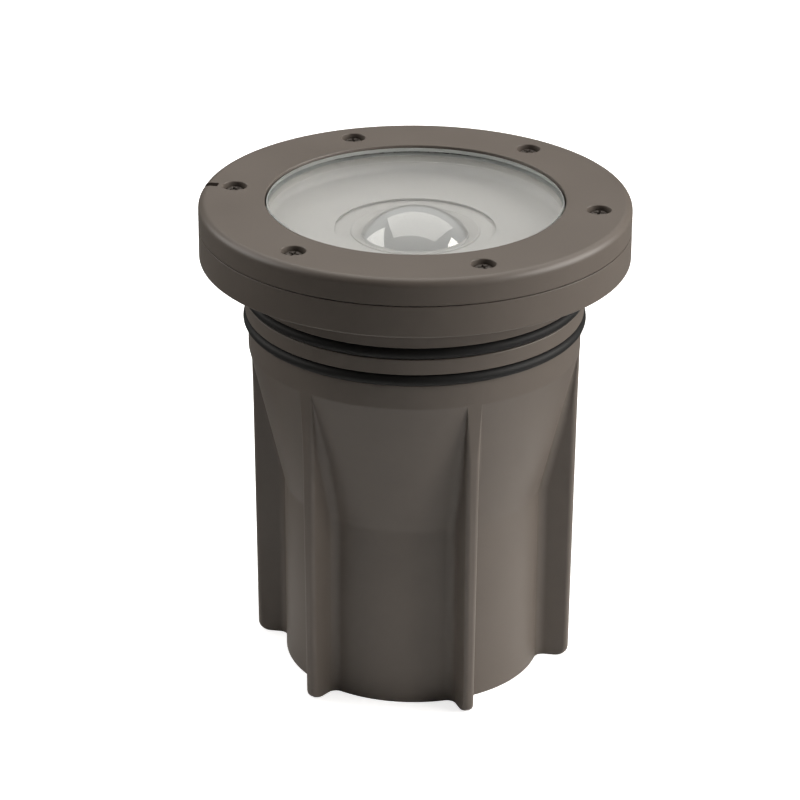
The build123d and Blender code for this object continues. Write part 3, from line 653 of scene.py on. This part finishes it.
@dataclass
class Can:
    """The housing casting: flange, ring grooves, band, cone, can, fins, skirt, floor and plain bore."""

    ring_radius: float = 70.0
    seam_height: float = 153.5
    seam_gap: float = 0.18
    seam_depth: float = 1.2
    flange_bottom: float = 143.0
    collar_radius: float = 55.5
    land_radius: float = 55.3
    groove_radius: float = 52.3
    upper_groove: tuple[float, float] = (129.2, 133.2)
    lower_groove: tuple[float, float] = (120.0, 124.0)
    band_radius: float = 54.4
    band_bottom: float = 111.7
    can_radius: float = 42.9
    cone_bottom: float = 63.0
    wall: float = 3.0
    floor_underside: float = 24.0
    bore_radius: float = 47.8
    tray_bore_radius: float = 50.0
    tray_seat: float = 146.2
    glass_seat_radius: float = 53.6
    gasket_ledge: float = 151.9
    gland_hole: float = 8.1
    can_rounding: float = 9.0
    band_rounding: float = 5.0
    band_start: float = 2.0
    band_edge: float = 0.35
    land_edge: float = 0.3
    flange_root: float = 0.9
    flange_edge: float = 0.55
    seam_edge: float = 0.15
    floor_rounding: float = 1.5
    skirt_edge: float = 0.5
    level_spacing: float = 5.0
    corner_levels: int = 6
    fin: Fin = field(default_factory=Fin)

    def can_wall(self) -> list[Corner]:
        """Corners of the finned stretch, from the base up to the band's top edge."""
        return [
            Corner(self.can_radius, 0.0),
            Corner(self.can_radius, self.cone_bottom, self.can_rounding),
            Corner(self.band_radius, self.band_bottom, self.band_rounding),
            Corner(self.band_radius, self.band_bottom + self.band_start),
        ]

    def upper_outline(self) -> list[Corner]:
        """Corners from the band's top edge over the grooves, the flange and the bore to the skirt's inside.

        Returns:
            The corners, in order.
        """
        inner = self.can_radius - self.wall
        slope = (self.band_bottom - self.cone_bottom) / (self.band_radius - self.can_radius)
        taper_top = self.cone_bottom + (self.bore_radius - inner) * slope
        seam_root = self.ring_radius - self.seam_depth
        return [
            Corner(self.band_radius, self.lower_groove[0], self.band_edge),
            Corner(self.groove_radius, self.lower_groove[0]),
            Corner(self.groove_radius, self.lower_groove[1]),
            Corner(self.land_radius, self.lower_groove[1], self.land_edge),
            Corner(self.land_radius, self.upper_groove[0], self.land_edge),
            Corner(self.groove_radius, self.upper_groove[0]),
            Corner(self.groove_radius, self.upper_groove[1]),
            Corner(self.collar_radius, self.upper_groove[1], self.land_edge),
            Corner(self.collar_radius, self.flange_bottom, self.flange_root),
            Corner(self.ring_radius, self.flange_bottom, self.flange_edge),
            Corner(self.ring_radius, self.seam_height - self.seam_gap, self.seam_edge),
            Corner(seam_root, self.seam_height - self.seam_gap),
            Corner(seam_root, self.seam_height),
            Corner(self.glass_seat_radius, self.seam_height, self.land_edge),
            Corner(self.glass_seat_radius, self.gasket_ledge),
            Corner(self.tray_bore_radius, self.gasket_ledge),
            Corner(self.tray_bore_radius, self.tray_seat),
            Corner(self.bore_radius, self.tray_seat),
            Corner(self.bore_radius, taper_top),
            Corner(inner, self.cone_bottom),
            Corner(inner, self.floor_underside + self.wall, self.floor_rounding),
            Corner(self.gland_hole, self.floor_underside + self.wall),
            Corner(self.gland_hole, self.floor_underside),
            Corner(inner, self.floor_underside, self.floor_rounding),
            Corner(inner, 0.0, self.skirt_edge),
        ]

    def level_loop(self, radius: float, height: float) -> list[Vector]:
        """One level loop of the finned stretch, all round.

        Args:
            radius: The can's radius at the level.
            height: The level's height.

        Returns:
            Points in space.
        """
        half = self.fin.half_outline(height, radius, self.band_bottom)
        bay = [Vector((point.x, -point.y)) for point in reversed(half[1:])] + half[:-1]
        loop = []
        for step in range(FIN_COUNT):
            turn = Matrix.Rotation(math.tau * step / FIN_COUNT, 2)
            loop += [(turn @ point).to_3d() + Vector((0, 0, height)) for point in bay]
        return loop

    def finned_levels(self) -> list[tuple[float, float]]:
        """Levels of the finned stretch, closer together where it bends.

        Returns:
            Radius and height of each level, rising.
        """
        outline = rounded_outline(self.can_wall(), closed=False)
        quarter = [math.pi / 2 * step / self.corner_levels for step in range(self.corner_levels + 1)]
        heights = [self.fin.corner_rounding * (1 - math.cos(angle)) for angle in quarter]
        heights += [point.y for point in outline[1:]]
        spans = list(zip(heights, heights[1:]))
        for low, high in spans:
            pieces = int((high - low) / self.level_spacing)
            heights += [low + (high - low) * step / (pieces + 1) for step in range(1, pieces + 1)]
        return [(self.radius_at(outline, height), height) for height in sorted(set(heights))]

    @staticmethod
    def radius_at(outline: Sequence[Vector], height: float) -> float:
        """Radius of an upward outline at a height.

        Args:
            outline: Points as (radius, height), rising.
            height: The height asked for.

        Returns:
            The radius there.
        """
        for low, high in zip(outline, outline[1:]):
            if height <= high.y:
                share = (height - low.y) / max(high.y - low.y, LEAST_RISE)
                return low.x + (high.x - low.x) * max(share, 0.0)
        return outline[-1].x

    def build(self, finishes: Finishes) -> list[Object]:
        """Makes the casting as one closed mesh that stands for the housing node.

        Args:
            finishes: The light's finishes.

        Returns:
            The new pieces.
        """
        levels = self.finned_levels()
        loops = [self.level_loop(radius, height) for radius, height in levels]
        directions = [Vector((point.x, point.y, 0)).normalized() for point in loops[-1]]
        upper = rounded_outline([Corner(*levels[-1])] + self.upper_outline(), steps=5, closed=False)
        for point in upper[1:]:
            loops.append([way * point.x + Vector((0, 0, point.y)) for way in directions])
        casting = mesh_from_loops("can_casting", loops, closed=True)
        dress(casting, finishes.powder_coat)
        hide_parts("housing")
        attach(casting, "can")
        return [casting]


# ---- Trim ring and its screws ----


@dataclass
class TrimRing:
    """The ring over the glass: rounded top edge, counterbores, lip and pry notch."""

    outer_radius: float = 70.0
    window_radius: float = 48.6
    top: float = 162.0
    seam_height: float = 153.5
    seam_gap: float = 0.18
    seam_depth: float = 1.2
    lip_underside: float = 157.2
    seat_radius: float = 53.6
    edge_rounding: float = 2.5
    pitch_radius: float = 59.45
    counterbore_radius: float = 4.0
    counterbore_floor: float = 158.6
    bore_radius: float = 2.25
    notch_width: float = 3.0
    notch_depth: float = 5.0
    notch_corner: float = 0.3
    bore_bevel: float = 0.18
    window_edge: float = 0.3
    seam_edge: float = 0.15
    lip_edge: float = 0.2

    def counterbore_cutter(self) -> Object:
        """Cutter for one screw: bore, counterbore and a small bevel at the face.

        Returns:
            The cutter, at angle zero.
        """
        corners = [
            Corner(0, self.seam_height - PAST),
            Corner(self.bore_radius, self.seam_height - PAST),
            Corner(self.bore_radius, self.counterbore_floor),
            Corner(self.counterbore_radius, self.counterbore_floor),
            Corner(self.counterbore_radius, self.top - self.bore_bevel),
            Corner(self.counterbore_radius + self.bore_bevel + PAST, self.top + PAST),
            Corner(0, self.top + PAST),
        ]
        cutter = turned_piece("cutter", corners, segments=48)
        cutter.data.transform(Matrix.Translation((self.pitch_radius * MM, 0, 0)))
        return cutter

    def notch_cutter(self) -> Object:
        """Cutter for the pry notch, with slightly rounded inner corners.

        Returns:
            The cutter, at 180 degrees.
        """
        half, inner = self.notch_width / 2, self.outer_radius - self.notch_depth
        outer = self.outer_radius + 2 * PAST
        corner = self.notch_corner
        flat = [Vector((outer, -half)), Vector((outer, half))]
        flat += arc(Vector((inner + corner, half - corner)), corner, math.pi / 2, math.pi, 4)
        flat += arc(Vector((inner + corner, corner - half)), corner, math.pi, math.pi * 1.5, 4)
        middle = Vector((self.outer_radius, 0))
        low, high = self.seam_height - PAST, self.top + PAST
        loops = []
        for height, outline in ((low, [middle]), (low, flat), (high, flat), (high, [middle])):
            loops.append([point.to_3d() + Vector((0, 0, height)) for point in outline])
        cutter = mesh_from_loops("cutter", loops, closed=False)
        cutter.data.transform(Matrix.Rotation(math.pi, 4, "Z"))
        return cutter

    def build(self, finishes: Finishes) -> list[Object]:
        """Makes the ring.

        Args:
            finishes: The light's finishes.

        Returns:
            The new pieces.
        """
        seam_root = self.outer_radius - self.seam_depth
        corners = [
            Corner(self.window_radius, self.top, self.window_edge),
            Corner(self.outer_radius, self.top, self.edge_rounding),
            Corner(self.outer_radius, self.seam_height + self.seam_gap, self.seam_edge),
            Corner(seam_root, self.seam_height + self.seam_gap),
            Corner(seam_root, self.seam_height),
            Corner(self.seat_radius, self.seam_height),
            Corner(self.seat_radius, self.lip_underside),
            Corner(self.window_radius, self.lip_underside, self.lip_edge),
        ]
        ring = turned_piece("trim_ring_casting", corners, segments=288, steps=8)
        cutters = copies_around(self.counterbore_cutter, FIN_COUNT)
        cut(ring, cutters + [self.notch_cutter()])
        dress(ring, finishes.powder_coat)
        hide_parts("trim_ring")
        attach(ring, "can")
        return [ring]


class Recess(Enum):
    """Driver recess in a screw's head."""

    CROSS = 4
    SLOT = 2


@dataclass
class TrimScrews:
    """Six pan-head screws, set round the ring by a node tree."""

    count: int = FIN_COUNT
    pitch_radius: float = 59.45
    seat: float = 158.6
    head_radius: float = 3.7
    head_height: float = 2.4
    shank_radius: float = 2.0
    shank_length: float = 11.5
    turn_seed: int = 7
    recess: Recess = Recess.CROSS
    recess_reach: float = 2.25
    recess_width: float = 0.95
    recess_depth: float = 1.7
    recess_floor: tuple[float, float] = (0.7, 0.45)
    flat_share: float = 0.62
    flat_rounding: float = 1.5
    shoulder_share: float = 0.42
    shoulder_rounding: float = 0.5
    underside_edge: float = 0.1

    def recess_cutter(self, turn: float) -> Object:
        """One tapering wing pair of the driver recess.

        Args:
            turn: Angle of the wings about the screw's axis, in radians.

        Returns:
            The cutter.
        """
        top, floor = self.head_height + PAST / 2, self.head_height - self.recess_depth
        loops = [[Vector((0, 0, floor))]]
        mouth = (self.recess_reach, self.recess_width)
        for height, (reach, width) in ((floor, self.recess_floor), (top, mouth)):
            half = width / 2
            flat = [(-reach, -half), (reach, -half), (reach, half), (-reach, half)]
            loops.append([Vector((x, y, height)) for x, y in flat])
        loops.append([Vector((0, 0, top))])
        cutter = mesh_from_loops("cutter", loops, closed=False)
        cutter.data.transform(Matrix.Rotation(turn, 4, "Z"))
        return cutter

    def one_screw(self) -> Object:
        """One screw standing on the origin under its head.

        Returns:
            The screw.
        """
        corners = [
            Corner(0, self.head_height),
            Corner(self.head_radius * self.flat_share, self.head_height, self.flat_rounding),
            Corner(self.head_radius, self.head_height * self.shoulder_share, self.shoulder_rounding),
            Corner(self.head_radius, 0, self.underside_edge),
            Corner(self.shank_radius, 0),
            Corner(self.shank_radius, -self.shank_length),
            Corner(0, -self.shank_length),
        ]
        screw = turned_piece("one_screw", corners, segments=40, steps=4)
        wings = self.recess.value // 2
        cut(screw, [self.recess_cutter(math.pi * step / wings) for step in range(wings)])
        return screw

    def build(self, finishes: Finishes) -> list[Object]:
        """Sets the screws in their counterbores.

        Args:
            finishes: The light's finishes.

        Returns:
            The new pieces.
        """
        screw = self.one_screw()
        values = {
            "Piece": screw,
            "Count": self.count,
            "Pitch Radius": self.pitch_radius * MM,
            "Height": self.seat * MM,
            "Turn Seed": self.turn_seed,
            "Finish": finishes.screw,
        }
        screws = grow("trim_screw_set", ring_of_copies_tree(), values)
        bpy.data.objects.remove(screw)
        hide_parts("trim_screws")
        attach(screws, "can")
        return [screws]


# ---- Node trees for what repeats or follows a path ----


def new_tree(
    name: str, inputs: Sequence[tuple[str, str, object]]
) -> tuple[NodeTree, NodeMaker, NodeOutputs]:
    """Starts a geometry tree, whose last input is the finish.

    Args:
        name: The tree's name.
        inputs: Name, socket type and default value of each input; None leaves the type's own default.

    Returns:
        The tree, its node maker and what its input node gives out.
    """
    tree = bpy.data.node_groups.new(name, "GeometryNodeTree")
    tree.interface.new_socket("Geometry", in_out="OUTPUT", socket_type="NodeSocketGeometry")
    for label, kind, value in (*inputs, ("Finish", "NodeSocketMaterial", None)):
        socket = tree.interface.new_socket(label, in_out="INPUT", socket_type=kind)
        if value is not None:
            socket.default_value = value
    make = NodeMaker(tree)
    return tree, make, make.add("NodeGroupInput").outputs


def raised(make: NodeMaker, shape: NodeSocket, height: NodeSocket) -> NodeSocket:
    """Moves the geometry of a tree up by a height."""
    lift = make.add("ShaderNodeCombineXYZ", {"Z": height}).outputs[0]
    return make.add("GeometryNodeSetPosition", {"Geometry": shape, "Offset": lift}).outputs["Geometry"]


def finish_tree(make: NodeMaker, shape: NodeSocket, finish: NodeSocket) -> None:
    """Ends a tree: real geometry, and the finish on all of it.

    Args:
        make: The tree's node maker.
        shape: The geometry so far.
        finish: The tree's Finish input.
    """
    real = make.add("GeometryNodeRealizeInstances", {"Geometry": shape})
    feeds = {"Geometry": real.outputs["Geometry"], "Material": finish}
    coated = make.add("GeometryNodeSetMaterial", feeds)
    make.add("NodeGroupOutput", {"Geometry": coated.outputs["Geometry"]})


def ring_of_copies_tree() -> NodeTree:
    """Tree that sets copies of a piece on a level circle, each with its own turn.

    Returns:
        The tree.
    """
    inputs = [
        ("Piece", "NodeSocketObject", None),
        ("Count", "NodeSocketInt", 6),
        ("Pitch Radius", "NodeSocketFloat", 0.05),
        ("Height", "NodeSocketFloat", 0.1),
        ("Turn Seed", "NodeSocketInt", 0),
    ]
    tree, make, given = new_tree("ring_of_copies", inputs)
    feeds = {"Vertices": given["Count"], "Radius": given["Pitch Radius"]}
    circle = make.add("GeometryNodeMeshCircle", feeds)
    feeds = {"Max": math.tau, "Seed": given["Turn Seed"]}
    chance = make.add("FunctionNodeRandomValue", feeds, data_type="FLOAT")
    feeds = {
        "Points": raised(make, circle.outputs["Mesh"], given["Height"]),
        "Instance": make.add("GeometryNodeObjectInfo", {"Object": given["Piece"]}).outputs["Geometry"],
        "Rotation": make.add("ShaderNodeCombineXYZ", {"Z": chance.outputs[1]}).outputs[0],
    }
    copies = make.add("GeometryNodeInstanceOnPoints", feeds)
    finish_tree(make, copies.outputs["Instances"], given["Finish"])
    return tree


def sealing_ring_tree() -> NodeTree:
    """Tree that sweeps a round section about a level circle.

    Returns:
        The tree.
    """
    inputs = [
        ("Ring Radius", "NodeSocketFloat", 0.05),
        ("Section Radius", "NodeSocketFloat", 0.002),
        ("Height", "NodeSocketFloat", 0.1),
        ("Steps Round", "NodeSocketInt", 256),
        ("Steps in Section", "NodeSocketInt", 24),
    ]
    tree, make, given = new_tree("sealing_ring", inputs)
    circles = []
    for radius, steps in (("Ring Radius", "Steps Round"), ("Section Radius", "Steps in Section")):
        feeds = {"Radius": given[radius], "Resolution": given[steps]}
        circles.append(make.add("GeometryNodeCurvePrimitiveCircle", feeds).outputs["Curve"])
    sweep = make.add("GeometryNodeCurveToMesh", {"Curve": circles[0], "Profile Curve": circles[1]})
    finish_tree(make, raised(make, sweep.outputs["Mesh"], given["Height"]), given["Finish"])
    return tree


def grow(name: str, tree: NodeTree, values: dict[str, object]) -> Object:
    """Runs a geometry tree and keeps its result as a plain mesh.

    Args:
        name: Name of the new object.
        tree: The geometry tree.
        values: The tree's inputs by name.

    Returns:
        The new object.
    """
    piece = add_object(name, bpy.data.meshes.new(name))
    modifier = piece.modifiers.new("tree", "NODES")
    modifier.node_group = tree
    for item in tree.interface.items_tree:
        if item.in_out == "INPUT" and item.name in values:
            modifier[item.identifier] = values[item.name]
    bake_modifiers(piece)
    smooth(piece.data)
    return piece


# ---- Seals, glass, tray and lamp head ----


@dataclass
class SealingRings:
    """The two rubber rings in the collar's grooves."""

    outer_radius: float = 56.0
    section_radius: float = 1.8
    steps_round: int = 256
    steps_in_section: int = 24
    seats: tuple[tuple[str, float], ...] = (("upper_o_ring", 129.2), ("lower_o_ring", 120.0))

    def build(self, finishes: Finishes) -> list[Object]:
        """Makes both rings.

        Args:
            finishes: The light's finishes.

        Returns:
            The new pieces.
        """
        tree = sealing_ring_tree()
        pieces = []
        for node, seat in self.seats:
            values = {
                "Ring Radius": (self.outer_radius - self.section_radius) * MM,
                "Section Radius": self.section_radius * MM,
                "Height": (seat + self.section_radius) * MM,
                "Steps Round": self.steps_round,
                "Steps in Section": self.steps_in_section,
                "Finish": finishes.rubber,
            }
            ring = grow(node + "_seal", tree, values)
            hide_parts(node)
            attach(ring, "can")
            pieces.append(ring)
        return pieces


@dataclass
class Window:
    """The stepped glass."""

    bottom: float = 152.9
    top: float = 161.3
    step_top: float = 156.4
    face_radius: float = 48.1
    step_radius: float = 53.0
    face_bevel: float = 0.45
    ground_from: float = 47.6
    step_edge: float = 0.4
    step_root: float = 0.3
    up_facing: float = 0.2

    def build(self, finishes: Finishes) -> list[Object]:
        """Makes the glass.

        Args:
            finishes: The light's finishes.

        Returns:
            The new pieces.
        """
        corners = [
            Corner(0, self.bottom),
            Corner(self.ground_from, self.bottom),
            Corner(self.step_radius, self.bottom, self.step_edge),
            Corner(self.step_radius, self.step_top, self.step_edge),
            Corner(self.face_radius, self.step_top, self.step_root),
            Corner(self.face_radius, self.top, self.face_bevel),
            Corner(0, self.top),
        ]
        glass = turned_piece("stepped_glass", corners, segments=256)
        dress(glass, finishes.glass)
        middle = (self.step_top + self.top) / 2

        def is_ground(centre: Vector, normal: Vector) -> bool:
            """Whether a face lies beyond the polished part and isn't the top face's edge."""
            is_top = normal.z > self.up_facing and centre.z > middle
            return centre.xy.length > self.ground_from and not is_top

        mark_faces(glass, finishes.ground_edge, is_ground)
        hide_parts("glass_lens")
        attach(glass, "can")
        return [glass]


@dataclass
class Tray:
    """The pale tray under the glass, as a turned shape: wall, rounded corner and dished floor."""

    outer_radius: float = 49.8
    wall: float = 1.2
    top: float = 152.7
    seat: float = 146.2
    floor_edge: float = 147.1
    floor_lip: float = 145.9
    pivot: float = 129.0
    opening_ball: float = 31.05
    seat_inner: float = 46.8
    corner_rounding: float = 2.0
    rim_inside: float = 0.3
    rim_outside: float = 0.2
    seat_edge: float = 0.4
    lip_edge: float = 0.1

    def opening_at(self, height: float) -> float:
        """Radius of the opening at a height."""
        return math.sqrt(self.opening_ball**2 - (height - self.pivot) ** 2)

    def build(self, finishes: Finishes) -> list[Object]:
        """Makes the tray.

        Args:
            finishes: The light's finishes.

        Returns:
            The new pieces.
        """
        inner = self.outer_radius - self.wall
        lip_bottom = self.floor_lip - self.wall
        corners = [
            Corner(self.outer_radius, self.top, self.rim_outside),
            Corner(self.outer_radius, self.seat, self.seat_edge),
            Corner(self.seat_inner, self.seat),
            Corner(self.opening_at(lip_bottom), lip_bottom, self.rim_outside),
            Corner(self.opening_at(self.floor_lip), self.floor_lip, self.lip_edge),
            Corner(inner, self.floor_edge, self.corner_rounding),
            Corner(inner, self.top, self.rim_inside),
        ]
        tray = turned_piece("tray_moulding", corners, segments=256, steps=8)
        dress(tray, finishes.white)
        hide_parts("reflector_tray")
        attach(tray, "can")
        return [tray]


@dataclass
class LampHead:
    """What tilts and shows: the clear dome and the bezel round it. The cup is the frame's own mesh."""

    pivot: float = 129.0
    dome_ball: float = 23.3
    dome_radius: float = 17.3
    dome_base: float = 141.8
    flange_radius: float = 20.6
    flange_top: float = 143.3
    bezel_radius: float = 21.0
    bezel_top: float = 145.2
    funnel_radius: float = 20.4
    rim_from: float = 17.2
    bezel_gap: float = 0.12
    funnel_edge: float = 0.35
    dome_root: float = 0.4
    flange_edge: float = 0.2
    curve_steps: int = 24

    def dome(self) -> Object:
        """The domed optic with its flange.

        Returns:
            The optic.
        """
        top = math.pi / 2
        edge = top - math.asin(self.dome_radius / self.dome_ball)
        curve = arc(Vector((0, self.pivot)), self.dome_ball, top, edge, self.curve_steps)
        corners = [Corner(max(point.x, 0.0), point.y) for point in curve]
        corners[0] = Corner(0.0, self.pivot + self.dome_ball)
        corners += [
            Corner(self.dome_radius, self.flange_top, self.dome_root),
            Corner(self.flange_radius, self.flange_top, self.flange_edge),
            Corner(self.flange_radius, self.dome_base, self.flange_edge),
            Corner(0.0, self.dome_base),
        ]
        return turned_piece("dome_optic_glass", corners, segments=192)

    def bezel(self) -> Object:
        """The ring that holds the optic down, with a funnel-shaped inside that closes on the dome.

        Returns:
            The bezel.
        """
        inner = self.dome_radius + self.bezel_gap
        corners = [
            Corner(inner, self.flange_top),
            Corner(self.bezel_radius, self.flange_top),
            Corner(self.bezel_radius, self.bezel_top, self.flange_edge),
            Corner(self.funnel_radius, self.bezel_top, self.funnel_edge),
            Corner(inner, self.flange_top + self.flange_edge),
        ]
        return turned_piece("optic_bezel_ring", corners, segments=192)

    def build(self, finishes: Finishes) -> list[Object]:
        """Makes the visible pieces of the lamp head.

        Args:
            finishes: The light's finishes.

        Returns:
            The new pieces.
        """
        pieces = []
        for piece, node, finish, slot in (
            (self.dome(), "dome_optic", finishes.optic, "clear_glass"),
            (self.bezel(), "optic_bezel", finishes.white, "white_moulding"),
        ):
            dress(piece, finish)
            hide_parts(node)
            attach(piece, "lamp_head")
            pieces.append(piece)

        def is_matt(centre: Vector, normal: Vector) -> bool:
            """Whether a face of the optic is on its flange or its flat underside."""
            return centre.xy.length > self.rim_from or centre.z < self.dome_base + SUPPORT

        mark_faces(pieces[0], finishes.optic_rim, is_matt)
        return pieces


class CadFinishes:
    """Finishes for the frame's own meshes, shown and hidden."""

    def finish_by_node(self, finishes: Finishes) -> dict[str, Material]:
        """The finish of each node.

        Args:
            finishes: The light's finishes.

        Returns:
            Materials by node name.
        """
        groups = {
            finishes.powder_coat: ("housing", "trim_ring"),
            finishes.screw: ("trim_screws",),
            finishes.glass: ("glass_lens",),
            finishes.optic: ("dome_optic",),
            finishes.rubber: ("upper_o_ring", "lower_o_ring", "upper_lens_gasket", "lower_lens_gasket")
            + ("gland_washer", "gland_seal"),
            finishes.aluminium: ("swivel_ring", "heat_sink"),
            finishes.nylon: ("thrust_washer", "pivot_washers"),
            finishes.spring: ("retaining_clip",),
            finishes.zinc: ("pivot_screws", "board_screws", "heat_sink_screws", "shelf_screws")
            + ("driver_screws", "driver_shelf"),
            finishes.white: ("aiming_cup", "reflector_tray", "optic_bezel"),
            finishes.board: ("led_board",),
            finishes.emitter: ("led_emitter",),
            finishes.pad: ("thermal_pad",),
            finishes.plastic: ("driver_case", "gland_body", "gland_locknut", "gland_nut"),
            finishes.resin: ("driver_potting",),
        }
        return {node: finish for finish, nodes in groups.items() for node in nodes}

    def build(self, frame: dict, finishes: Finishes) -> list[Object]:
        """Dresses the nodes.

        Args:
            frame: The loaded frame.
            finishes: The light's finishes.

        Returns:
            The dressed objects.
        """
        dressed = []
        for node, finish in self.finish_by_node(finishes).items():
            dress(frame["nodes"][node], finish)
            dressed.append(frame["nodes"][node])
        return dressed


# ---- Studio ----


@dataclass(frozen=True)
class Panel:
    """One soft light: where it is, what it points at, its size in metres and its power in watts."""

    name: str
    place: tuple[float, float, float]
    target: tuple[float, float, float]
    width: float
    height: float
    power: float
    colour: tuple[float, float, float] = (1.0, 0.97, 0.93)


@dataclass
class Studio:
    """Pale floor, soft lights and the camera at the photograph's angle.

    The floor and the world show the camera and the glass their own white. The lamps' light comes back to the
    object only from the floor, whose colour to those rays is a painted pool of light, pale round the can and
    dark farther out, and gloss reflects the lamps and a dark surround.
    """

    camera_place: tuple[float, float, float] = (0.16302, -0.99550, 0.55287)
    camera_target: tuple[float, float, float] = (-0.004566, -0.000748, 0.090236)
    camera_roll: float = math.radians(0.295)
    lens: float = 150.87
    sensor: float = 36.0
    floor_size: float = 14.0
    surround: float = 0.01
    zenith: float = 0.38
    zenith_band: tuple[float, float] = (0.25, 0.9)
    # painted pool of light on the floor, seen only by bounce rays: its middle, the radii of its soft edge,
    # and its colour inside and outside
    painted_pool_centre: tuple[float, float, float] = (0.04, -0.10, 0.0)
    painted_pool_radii: tuple[float, float] = (0.12, 0.26)
    painted_pool_bounce: tuple[float, float] = (0.85, 0.10)
    own_white: float = 0.72
    floor_colour: tuple[float, float, float] = (0.9, 0.9, 0.9)
    floor_roughness: float = 0.9
    nearest_seen: float = 0.01

    def panels(self) -> list[Panel]:
        """The soft lights, all aimed at the can's middle.

        Returns:
            The panels.
        """
        middle = (0.0, 0.0, 0.1)
        return [
            Panel("overhead_panel", (-0.02, 0.62, 1.30), middle, 1.6, 1.45, 11.5),
            Panel("right_panel", (1.17, 0.10, 0.64), middle, 1.15, 1.0, 23.0),
            Panel("front_right_panel", (0.80, -1.0, 0.37), middle, 0.6, 0.6, 0.4),
            Panel("left_panel", (-1.10, 0.08, 0.72), middle, 1.1, 0.9, 9.0),
        ]

    def add_panel(self, panel: Panel) -> None:
        """Adds one soft light.

        Args:
            panel: Its place, size and power.
        """
        data = bpy.data.lights.new(panel.name, "AREA")
        data.shape = "RECTANGLE"
        data.size, data.size_y = panel.width, panel.height
        data.energy = panel.power
        data.color = panel.colour
        lamp = bpy.data.objects.new(panel.name, data)
        lamp.location = panel.place
        aim = Vector(panel.target) - Vector(panel.place)
        lamp.rotation_euler = aim.to_track_quat("-Z", "Y").to_euler()
        bpy.context.scene.collection.objects.link(lamp)

    def add_floor(self) -> None:
        """The floor: white with the object's shadow to the camera, and to other rays a painted pool of light,
        pale round the can and dark farther out.
        """
        half = self.floor_size / 2
        mesh = bpy.data.meshes.new("floor")
        corners = [(-half, -half, 0), (half, -half, 0), (half, half, 0), (-half, half, 0)]
        mesh.from_pydata(corners, [], [(0, 1, 2, 3)])
        floor = add_object("floor", mesh)
        material, make, shader, place = new_material("pale_floor")
        seen = make.add("ShaderNodeLightPath").outputs["Is Camera Ray"]
        feeds = {0: place, 1: self.painted_pool_centre}
        distance = make.add("ShaderNodeVectorMath", feeds, operation="DISTANCE").outputs["Value"]
        # painted pool of light: the floor's colour to bounce rays is pale near the can and dark farther out,
        # standing in for light gathered round it
        painted_light_pool = make.blend_between(distance, self.painted_pool_radii, self.painted_pool_bounce)
        feeds = {
            "Base Color": make.mix_colour(seen, painted_light_pool, shade_of(self.floor_colour)),
            "Emission Strength": make.math("MULTIPLY", seen, self.own_white),
            "Emission Color": shade_of((1.0, 1.0, 1.0)),
            "Roughness": self.floor_roughness,
            "Specular IOR Level": 0.0,
        }
        make.feed(shader, feeds)
        dress(floor, material)

    def add_world(self) -> None:
        """White to the camera and through glass, darker overhead, and a dark surround to everything else."""
        world = bpy.data.worlds.new("studio")
        world.use_nodes = True
        bpy.context.scene.world = world
        make = NodeMaker(world.node_tree)
        path = make.add("ShaderNodeLightPath").outputs
        seen = make.math("MAXIMUM", path["Is Camera Ray"], path["Is Transmission Ray"])
        way = make.add("ShaderNodeTexCoord").outputs["Object"]
        height = make.add("ShaderNodeSeparateXYZ", {0: way}).outputs["Z"]
        sky = make.blend_between(height, self.zenith_band, (1.0, self.zenith))
        colour = make.mix_colour(seen, shade_of((self.surround,) * 3), sky)
        make.feed(world.node_tree.nodes["Background"], {"Color": colour, "Strength": 1.0})

    def add_camera(self) -> None:
        """The camera, at the angle and distance solved from the photograph's ellipses."""
        data = bpy.data.cameras.new("camera")
        data.lens = self.lens
        data.sensor_width = self.sensor
        data.clip_start = self.nearest_seen
        camera = bpy.data.objects.new("camera", data)
        camera.location = self.camera_place
        way = Vector(self.camera_target) - Vector(self.camera_place)
        aim = way.to_track_quat("-Z", "Y").to_matrix().to_4x4()
        roll = Matrix.Rotation(self.camera_roll, 4, "Z")
        camera.matrix_world = Matrix.Translation(self.camera_place) @ aim @ roll
        bpy.context.scene.collection.objects.link(camera)
        bpy.context.scene.camera = camera

    def build(self) -> None:
        """Sets the studio up."""
        self.add_floor()
        for panel in self.panels():
            self.add_panel(panel)
        self.add_world()
        self.add_camera()
        bpy.context.scene.view_settings.view_transform = "Standard"


def main() -> None:
    """Builds the light and the studio."""
    logging.basicConfig(level=logging.INFO, format="%(message)s")
    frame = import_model()
    finishes = Finishes()
    for part in (Can(), TrimRing(), TrimScrews(), SealingRings(), Window(), Tray(), LampHead()):
        for piece in part.build(finishes):
            LOG.info("%s: %d faces on %s", piece.name, len(piece.data.polygons), type(part).__name__)
    for piece in CadFinishes().build(frame, finishes):
        LOG.info("%s: dressed", piece.name)
    Studio().build()


if __name__ == "__main__":
    main()
